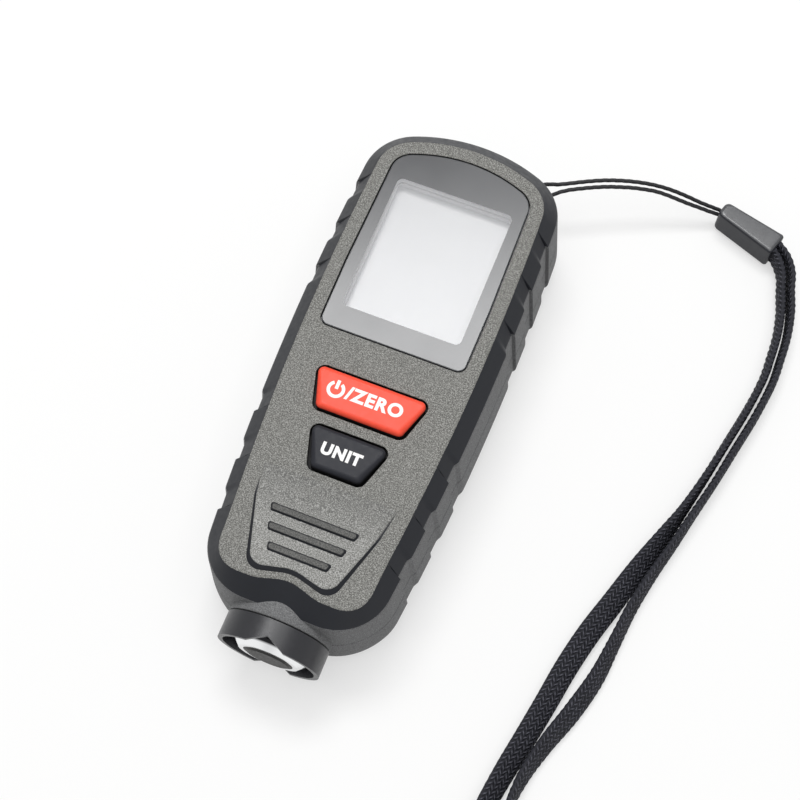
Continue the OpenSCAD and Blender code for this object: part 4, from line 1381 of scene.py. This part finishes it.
@dataclass
class Key:
    """One key with its flange, plunger and white legend."""

    name: str
    node: str
    body: Body
    finish: str
    top_w: float
    bottom_w: float
    top_y: float
    legend: str
    legend_h: float
    legend_at: Flat
    symbol: bool = False
    length: float = 9.5
    corner_r: float = 1.8
    least_r: float = 0.3
    gap: float = 0.58
    edge: float = 0.95
    top_z: float = 27.1
    flange_z: float = 23.7
    flange_grow: float = 0.9
    flange_t: float = 1.1
    skirt: float = 0.2
    stem_r: float = 1.7
    stem_ends: Flat = (21.9, 23.2)
    capital: float = 0.7
    bold: float = 0.16
    spacing: float = 1.13
    print_z: float = 0.02
    print_t: float = 0.03
    symbol_r: float = 0.57
    symbol_w: float = 0.34
    symbol_at: Flat = (-0.75, -0.05)
    symbol_arc: Flat = (122, 296)
    symbol_bar: Flat = (0.1, 0.5)
    symbol_steps: int = 32

    def outline(self, gap: float) -> list[Flat]:
        """Outline of the key's opening, shrunk by a gap.

        Args:
            gap: How far it is shrunk.

        Returns:
            Points of the outline.
        """
        low, high = self.top_y - self.length + gap, self.top_y - gap
        near, far = self.bottom_w / 2 - gap, self.top_w / 2 - gap
        radius = max(self.corner_r - gap, self.least_r)
        return rounded([(-near, low), (near, low), (far, high), (-far, high)], [radius] * 4)

    def build(self) -> None:
        """Makes the cap and its legend."""
        sketch = Sketch()
        rows = [at_z(self.outline(self.gap), self.flange_z - self.skirt)]
        for sine, cosine in quarter(EDGE_STEPS):
            shrink, drop = self.edge * (1 - cosine), self.edge * (1 - sine)
            rows.append(at_z(self.outline(self.gap + shrink), self.top_z - drop))
        # The skirt below the rounded edge takes the near-black inside finish, painted shade in the gap round
        # the key.
        sketch.close(sketch.loops(rows), KeySlot.SKIRT, KeySlot.CAP, change=1)
        flange = self.outline(-self.flange_grow)
        levels = (self.flange_z - self.flange_t, self.flange_z)
        sketch.solid([at_z(flange, z) for z in levels], KeySlot.SKIRT)
        stem = circle((0.0, self.top_y - self.length / 2), self.stem_r, HOLE_STEPS)
        sketch.solid([at_z(stem, z) for z in self.stem_ends], KeySlot.CAP)
        cap = sketch.piece(self.name, self.body, [self.finish, "inside_and_gap_shade"])
        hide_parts(self.node)
        self.print_legend()

    def print_legend(self) -> None:
        """Makes the legend as thin raised print."""
        data = bpy.data.curves.new(self.name + "_text", "FONT")
        data.body = self.legend
        data.size = self.legend_h / self.capital * MM
        data.align_x = "LEFT" if self.symbol else "CENTER"
        data.align_y = "CENTER"
        data.offset = self.bold * MM
        data.resolution_u = 6
        data.space_character = self.spacing
        text = bpy.data.objects.new(self.name + "_text", data)
        bpy.context.scene.collection.objects.link(text)
        mesh = baked(text)
        bpy.data.objects.remove(text)
        sketch = Sketch()
        sketch.bm.from_mesh(mesh)
        z = self.top_z + self.print_z
        bmesh.ops.scale(sketch.bm, vec=[1 / MM] * 3, verts=sketch.bm.verts)
        bmesh.ops.translate(sketch.bm, vec=(*self.legend_at, z), verts=sketch.bm.verts)
        if self.symbol:
            self.power(sketch, z)
        grown = bmesh.ops.extrude_face_region(sketch.bm, geom=list(sketch.bm.faces))
        raised = [v for v in grown["geom"] if isinstance(v, bmesh.types.BMVert)]
        bmesh.ops.translate(sketch.bm, vec=(0, 0, self.print_t), verts=raised)
        sketch.piece(self.name + "_legend", self.body, ["legend_white"], sharp=20.0)

    def power(self, sketch: Sketch, z: float) -> None:
        """Adds the power symbol to the left of the legend.

        Args:
            sketch: The legend's mesh.
            z: Height of the print.
        """
        r, w = self.legend_h * self.symbol_r, self.symbol_w
        x, y = self.legend_at[0] - r + self.symbol_at[0], self.legend_at[1] + self.symbol_at[1]
        start, span = self.symbol_arc
        rows = []
        for i in range(self.symbol_steps + 1):
            a = start + span * i / self.symbol_steps
            rows.append(sketch.loop(at_z([polar((x, y), reach, a) for reach in (r - w, r + w)], z)))
        sketch.bridge(rows, closed=False)
        low, high = y + self.symbol_bar[0], y + r + self.symbol_bar[1]
        sketch.face(sketch.loop(at_z([(x - w, low), (x + w, low), (x + w, high), (x - w, high)], z)))


@dataclass
class Display:
    """Lens with a printed border and a clear pane."""

    bottom_z: float = 24.61
    top_z: float = 25.95
    gap: float = 0.2
    edge: float = 0.22
    edge_mid: Flat = (0.07, 0.06)
    bleed: float = 0.25
    window_r: float = 1.3
    pane_t: float = 0.5
    joint: float = 0.01

    def build(self, housing: Housing) -> None:
        """Makes the lens in the housing's seat.

        Args:
            housing: Shell that gives the outline.
        """
        sketch = Sketch()
        shrink, drop = self.edge_mid
        steps = [(self.gap, self.bottom_z), (self.gap, self.top_z - self.edge)]
        steps += [(self.gap + shrink, self.top_z - drop), (self.gap + self.edge, self.top_z)]
        rows = sketch.loops([at_z(housing.lens_outline(-gap), z) for gap, z in steps])
        sketch.bridge(rows, LensSlot.PRINT)
        opening = box_outline(housing.window, self.bleed, self.window_r)
        hole = sketch.loops([at_z(opening, z) for z in (self.bottom_z, self.top_z)])
        sketch.bridge(hole, LensSlot.EDGE)
        sketch.fill([rows[0], hole[0]], LensSlot.PRINT)
        sketch.fill([rows[-1], hole[1]], LensSlot.PRINT)
        pane = box_outline(housing.window, self.bleed - self.joint, self.window_r)
        levels = (self.top_z - self.pane_t, self.top_z - self.joint)
        sketch.solid([at_z(pane, z) for z in levels], LensSlot.PANE)
        obj = sketch.piece("lens", Body.HOUSING, ["lens_print", "lens_glass", "frame_plastic"], sharp=8.0)
        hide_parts("display_lens")


@dataclass
class WristStrap:
    """String through the lanyard holes, ferrule, and braided loop."""

    string_r: float = 0.45
    string_core: float = 0.96
    string_bulge: float = 0.07
    string_plies: int = 3
    string_twist: float = 3.4
    string_sides: int = 16
    strap_w: float = 5.0
    strap_t: float = 1.8
    strap_in: float = 0.985
    strap_square: float = 0.55
    strap_sides: int = 28
    plait_h: float = 0.14
    plait_l: float = 1.5
    plait_lean: float = 1.3
    ferrule_l: float = 14.5
    ferrule_h: float = 6.6
    ferrule_z: float = 0.05
    ferrule_w: Flat = (3.8, 5.6)
    ferrule_r: tuple[float, ...] = (1.2, 0.6, 0.6, 1.2)
    ferrule_edge: float = 0.8
    ferrule_top: int = 4
    ferrule_c: Flat = (58.7, 69.0)
    ferrule_turn: float = -17.5
    string_route: tuple[Point, ...] = (
        (52.9, 70.3, 3.4), (51.5, 70.7, 3.7), (49.5, 70.3, 4.4), (47, 69.8, 5.4), (44.5, 69.2, 6.5),
        (42, 68.7, 7.6), (39.5, 68.2, 8.7), (37, 67.6, 9.6), (34.5, 66.8, 10.2), (32, 65.9, 10.7),
        (29.5, 64.9, 11), (27, 63.8, 11.3), (24.5, 62.6, 11.4), (22, 61.3, 11.4), (19.5, 60, 11.2),
        (17.4, 58.7, 10.7), (15.9, 57.3, 10.1), (15, 55.8, 9.6), (14.8, 54, 9.5), (14.7, 52.4, 9.5),
        (14, 51.2, 9.5), (13, 50.8, 9.5), (12, 51.2, 9.5), (11.4, 52.4, 9.5), (11.3, 54.6, 9.5),
        (11.4, 56.8, 9.6), (12.4, 58.6, 10.1), (14.5, 59.8, 10.8), (17, 60.4, 11.4), (19.2, 61.3, 11.8),
        (21.6, 62.5, 12), (24.1, 63.8, 12), (26.6, 65, 11.9), (29.1, 66.1, 11.6), (31.6, 67.1, 11.2),
        (34.2, 68, 10.7), (36.7, 68.8, 10), (39.2, 69.5, 9.1), (41.7, 70.1, 8), (44.2, 70.6, 6.8),
        (46.8, 71, 5.6), (49.3, 71.5, 4.5), (51.4, 71.8, 3.8), (53, 71.4, 3.4),
    )
    strap_route: tuple[tuple[float, float, float, float], ...] = (
        (64.2, 66.2, 90, 0.8), (65.6, 65.6, 90, 0.8), (67.2, 63.9, 90, 0.7), (68.6, 61.5, 90, 0.5),
        (69.6, 58, 90, 0.2), (70.9, 53.6, 90, 0), (71.8, 48, 90, 0), (72, 42, 90, 0), (71.9, 36.6, 90, 0),
        (70.7, 28.6, 90, 0), (68.9, 20, 90, 0), (67.1, 11.5, 85, 0), (65, 3, 75, 0), (63.2, -3, 60, 0),
        (60.3, -12, 40, 0), (57.9, -20, 30, 0), (55.4, -28, 25, 0), (53.5, -36, 25, 0), (52.1, -44, 28, 0),
        (50.6, -52, 32, 0), (49, -60, 38, 0), (47.4, -70, 50, 0), (46.8, -78, 70, 0), (46.8, -84, 90, 0),
        (47.6, -87.4, 90, 0), (49.4, -88.8, 90, 0), (51.2, -87.4, 90, 0), (52, -84, 90, 0),
        (52.1, -78, 90, 0), (51.8, -70, 90, 0), (52.6, -60, 110, 0), (54.6, -52, 122, 0),
        (57.4, -44, 130, 0), (59.6, -36, 125, 0), (60.7, -28, 115, 0), (61.7, -20, 110, 0),
        (63.4, -12, 105, 0), (65.4, -4.4, 100, 0), (67.1, 2.6, 95, 0), (69.2, 11.1, 90, 0),
        (71, 19.6, 90, 0), (72.8, 28.2, 90, 0), (74, 36.4, 90, 0), (74.1, 42, 90, 0), (73.9, 48.2, 90, 0),
        (73, 54, 90, 0), (71.6, 58.6, 90, 0.2), (70.6, 62.4, 90, 0.5), (68.7, 65.5, 90, 0.7),
        (66.2, 67.6, 90, 0.8), (64.8, 68.2, 90, 0.8),
    )

    @staticmethod
    def length(path: list[Point]) -> float:
        """Length of a path in metres."""
        return sum(math.dist(a, b) for a, b in zip(path, path[1:])) * MM

    @staticmethod
    def metres(path: list[Point]) -> list[Point]:
        """Path in metres."""
        return [tuple(c * MM for c in p) for p in path]

    @staticmethod
    def steps(path: list[Vector]) -> list[tuple[Vector, float]]:
        """Direction of a path at each point, and the length up to it.

        Args:
            path: Points of the path.

        Returns:
            Direction and length for each point.
        """
        out, run = [], 0.0
        for i, p in enumerate(path):
            run += (p - path[i - 1]).length if i else 0.0
            out.append(((path[min(i + 1, len(path) - 1)] - path[max(i - 1, 0)]).normalized(), run))
        return out

    def string(self) -> None:
        """Makes the twisted string."""
        sketch = Sketch()
        path = [Vector(p) for p in smooth_route(list(self.string_route), 8)]
        rows = []
        for p, (ahead, run) in zip(path, self.steps(path)):
            side = Vector((ahead.y, -ahead.x, 0)).normalized()
            up = side.cross(ahead)
            ring = []
            for k in range(self.string_sides):
                a = math.tau * k / self.string_sides
                bulge = self.string_bulge * math.cos(self.string_plies * a + run * self.string_twist)
                r = self.string_r * (self.string_core + bulge)
                ring.append(tuple(p + side * r * math.cos(a) + up * r * math.sin(a)))
            rows.append(sketch.loop(ring))
        sketch.close(rows)
        obj = sketch.piece("string", Body.HOUSING, ["cord_nylon"], sharp=60.0)
        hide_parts("strap_string")
        line = [tuple(p) for p in path]
        self.length(line)

    def strap(self) -> None:
        """Makes the braided loop with raised chevron plaits."""
        sketch = Sketch()
        along, over = (sketch.bm.verts.layers.float.new(name) for name in ("along", "over"))
        route = smooth_route(list(self.strap_route), 12)
        flat = [Vector((p[0], p[1], 0)) for p in route]
        half_w, half_t = self.strap_w / 2, self.strap_t / 2
        rows, line = [], []
        for p, (*_, twist, raised), (ahead, run) in zip(flat, route, self.steps(flat)):
            turn = math.radians(twist)
            wide = Vector((ahead.y, -ahead.x, 0)) * math.cos(turn) + Vector((0, 0, math.sin(turn)))
            thick = wide.cross(ahead)
            lift = half_w * abs(math.sin(turn)) + half_t * abs(math.cos(turn)) + raised
            centre = p + Vector((0, 0, lift))
            line.append(tuple(centre))
            row = []
            for k in range(self.strap_sides):
                a = math.tau * k / self.strap_sides
                across, through = math.cos(a), math.sin(a)
                flatten = math.copysign(abs(through) ** self.strap_square, through)
                height = half_t * flatten * (1 - self.plait_h + self.plait_h * self.braid(run, across))
                vert = sketch.bm.verts.new(centre + wide * across * half_w * self.strap_in + thick * height)
                vert[along] = run
                vert[over] = across * half_w
                row.append(vert)
            rows.append(row)
        sketch.close(rows)
        obj = sketch.piece("strap", Body.HOUSING, ["strap_braid"], sharp=75.0)
        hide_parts("wrist_strap")
        self.length(line)

    def braid(self, run: float, across: float) -> float:
        """Height of the plait from -1 to 1 at a place along and across the strap."""
        return math.cos(math.tau * (run / self.plait_l + self.plait_lean * abs(across)))

    def ferrule(self) -> None:
        """Makes the sliding ferrule."""
        front, rear = self.ferrule_w
        half, edge = self.ferrule_l / 2, self.ferrule_edge
        plan = [(-half, -front / 2), (half, -rear / 2), (half, rear / 2), (-half, front / 2)]
        outer = rounded(plan, list(self.ferrule_r), 8)
        turn = math.radians(self.ferrule_turn)
        curve = quarter(EDGE_STEPS)
        levels = [(edge * (1 - sine), self.ferrule_z + edge * (1 - cosine)) for sine, cosine in curve]
        levels += [(edge * (1 - cosine), self.ferrule_h - edge * (1 - sine)) for sine, cosine in curve]
        sketch = Sketch()
        rows = []
        for draw, z in levels:
            ring = []
            for x, y in outer:
                x, y = x * (1 - draw / half), y * (1 - 2 * draw / rear)
                px = self.ferrule_c[0] + x * math.cos(turn) - y * math.sin(turn)
                py = self.ferrule_c[1] + x * math.sin(turn) + y * math.cos(turn)
                ring.append((px, py, z))
            rows.append(sketch.loop(ring))
        # The sides and underside take the darker copy of the plastic as painted shade.
        sketch.close(rows, FerruleSlot.SIDE, FerruleSlot.TOP, change=len(rows) - self.ferrule_top)
        obj = sketch.piece("ferrule", Body.HOUSING, ["ferrule_plastic", "ferrule_side_shade"])
        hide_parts("strap_ferrule")


@dataclass
class CadPieces:
    """CAD nodes that stay as they are and take a finish."""

    finishes: dict[str, str] = field(
        default_factory=lambda: {
            "battery_cover": "cover_plastic", "lcd_panel": "lcd_glass", "lcd_backlight": "light_diffuser",
            "lcd_frame": "frame_plastic", "zebra_strip": "contact_rubber", "main_board": "board_laminate",
            "controller_chip": "chip_epoxy", "zero_switch": "switch_body", "unit_switch": "switch_body",
            "probe_sleeve": "sleeve_plastic", "probe_guide": "guide_bronze", "probe_holder": "holder_plastic",
            "probe_head": "head_chrome", "probe_tip": "tip_hard", "probe_coil": "coil_copper",
            "probe_core": "core_ferrite", "probe_spring": "spring_steel", "battery_left": "cell_wrap",
            "battery_right": "cell_wrap", "contact_link": "contact_plate",
            "contact_positive": "contact_plate", "contact_negative": "contact_plate",
            "case_screws": "screw_steel", "board_screws": "screw_steel",
        }
    )

    def build(self) -> None:
        """Gives each node its finish."""
        for node, key in self.finishes.items():
            obj = bpy.data.objects[node]
            obj.data.materials.clear()
            obj.data.materials.append(Paint.of(key))
            LOG.info("%s: %s", node, key)


def main() -> None:
    """Builds the scene and reports each piece."""
    logging.basicConfig(level=logging.INFO, format="%(message)s")
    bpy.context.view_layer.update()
    studio = Studio()
    studio.camera()
    strap = WristStrap()
    strap.string()
    strap.strap()
    strap.ferrule()
    zero = Key(
        "zero_cap", "zero_button", Body.ZERO, "key_red", top_w=24.4, bottom_w=18.8, top_y=-2.7,
        legend="/ZERO", legend_h=2.6, legend_at=(-4.1, -7.2), symbol=True,
    )
    unit = Key(
        "unit_cap", "unit_button", Body.UNIT, "key_black", top_w=17.2, bottom_w=11.2, top_y=-14.4,
        legend="UNIT", legend_h=2.25, legend_at=(-0.3, -19.3),
    )
    housing = Housing()
    housing.front([zero, unit], ThumbPad())
    housing.rear()
    Display().build(housing)
    zero.build()
    unit.build()
    CadPieces().build()
    studio.build()


if __name__ == "__main__":
    main()
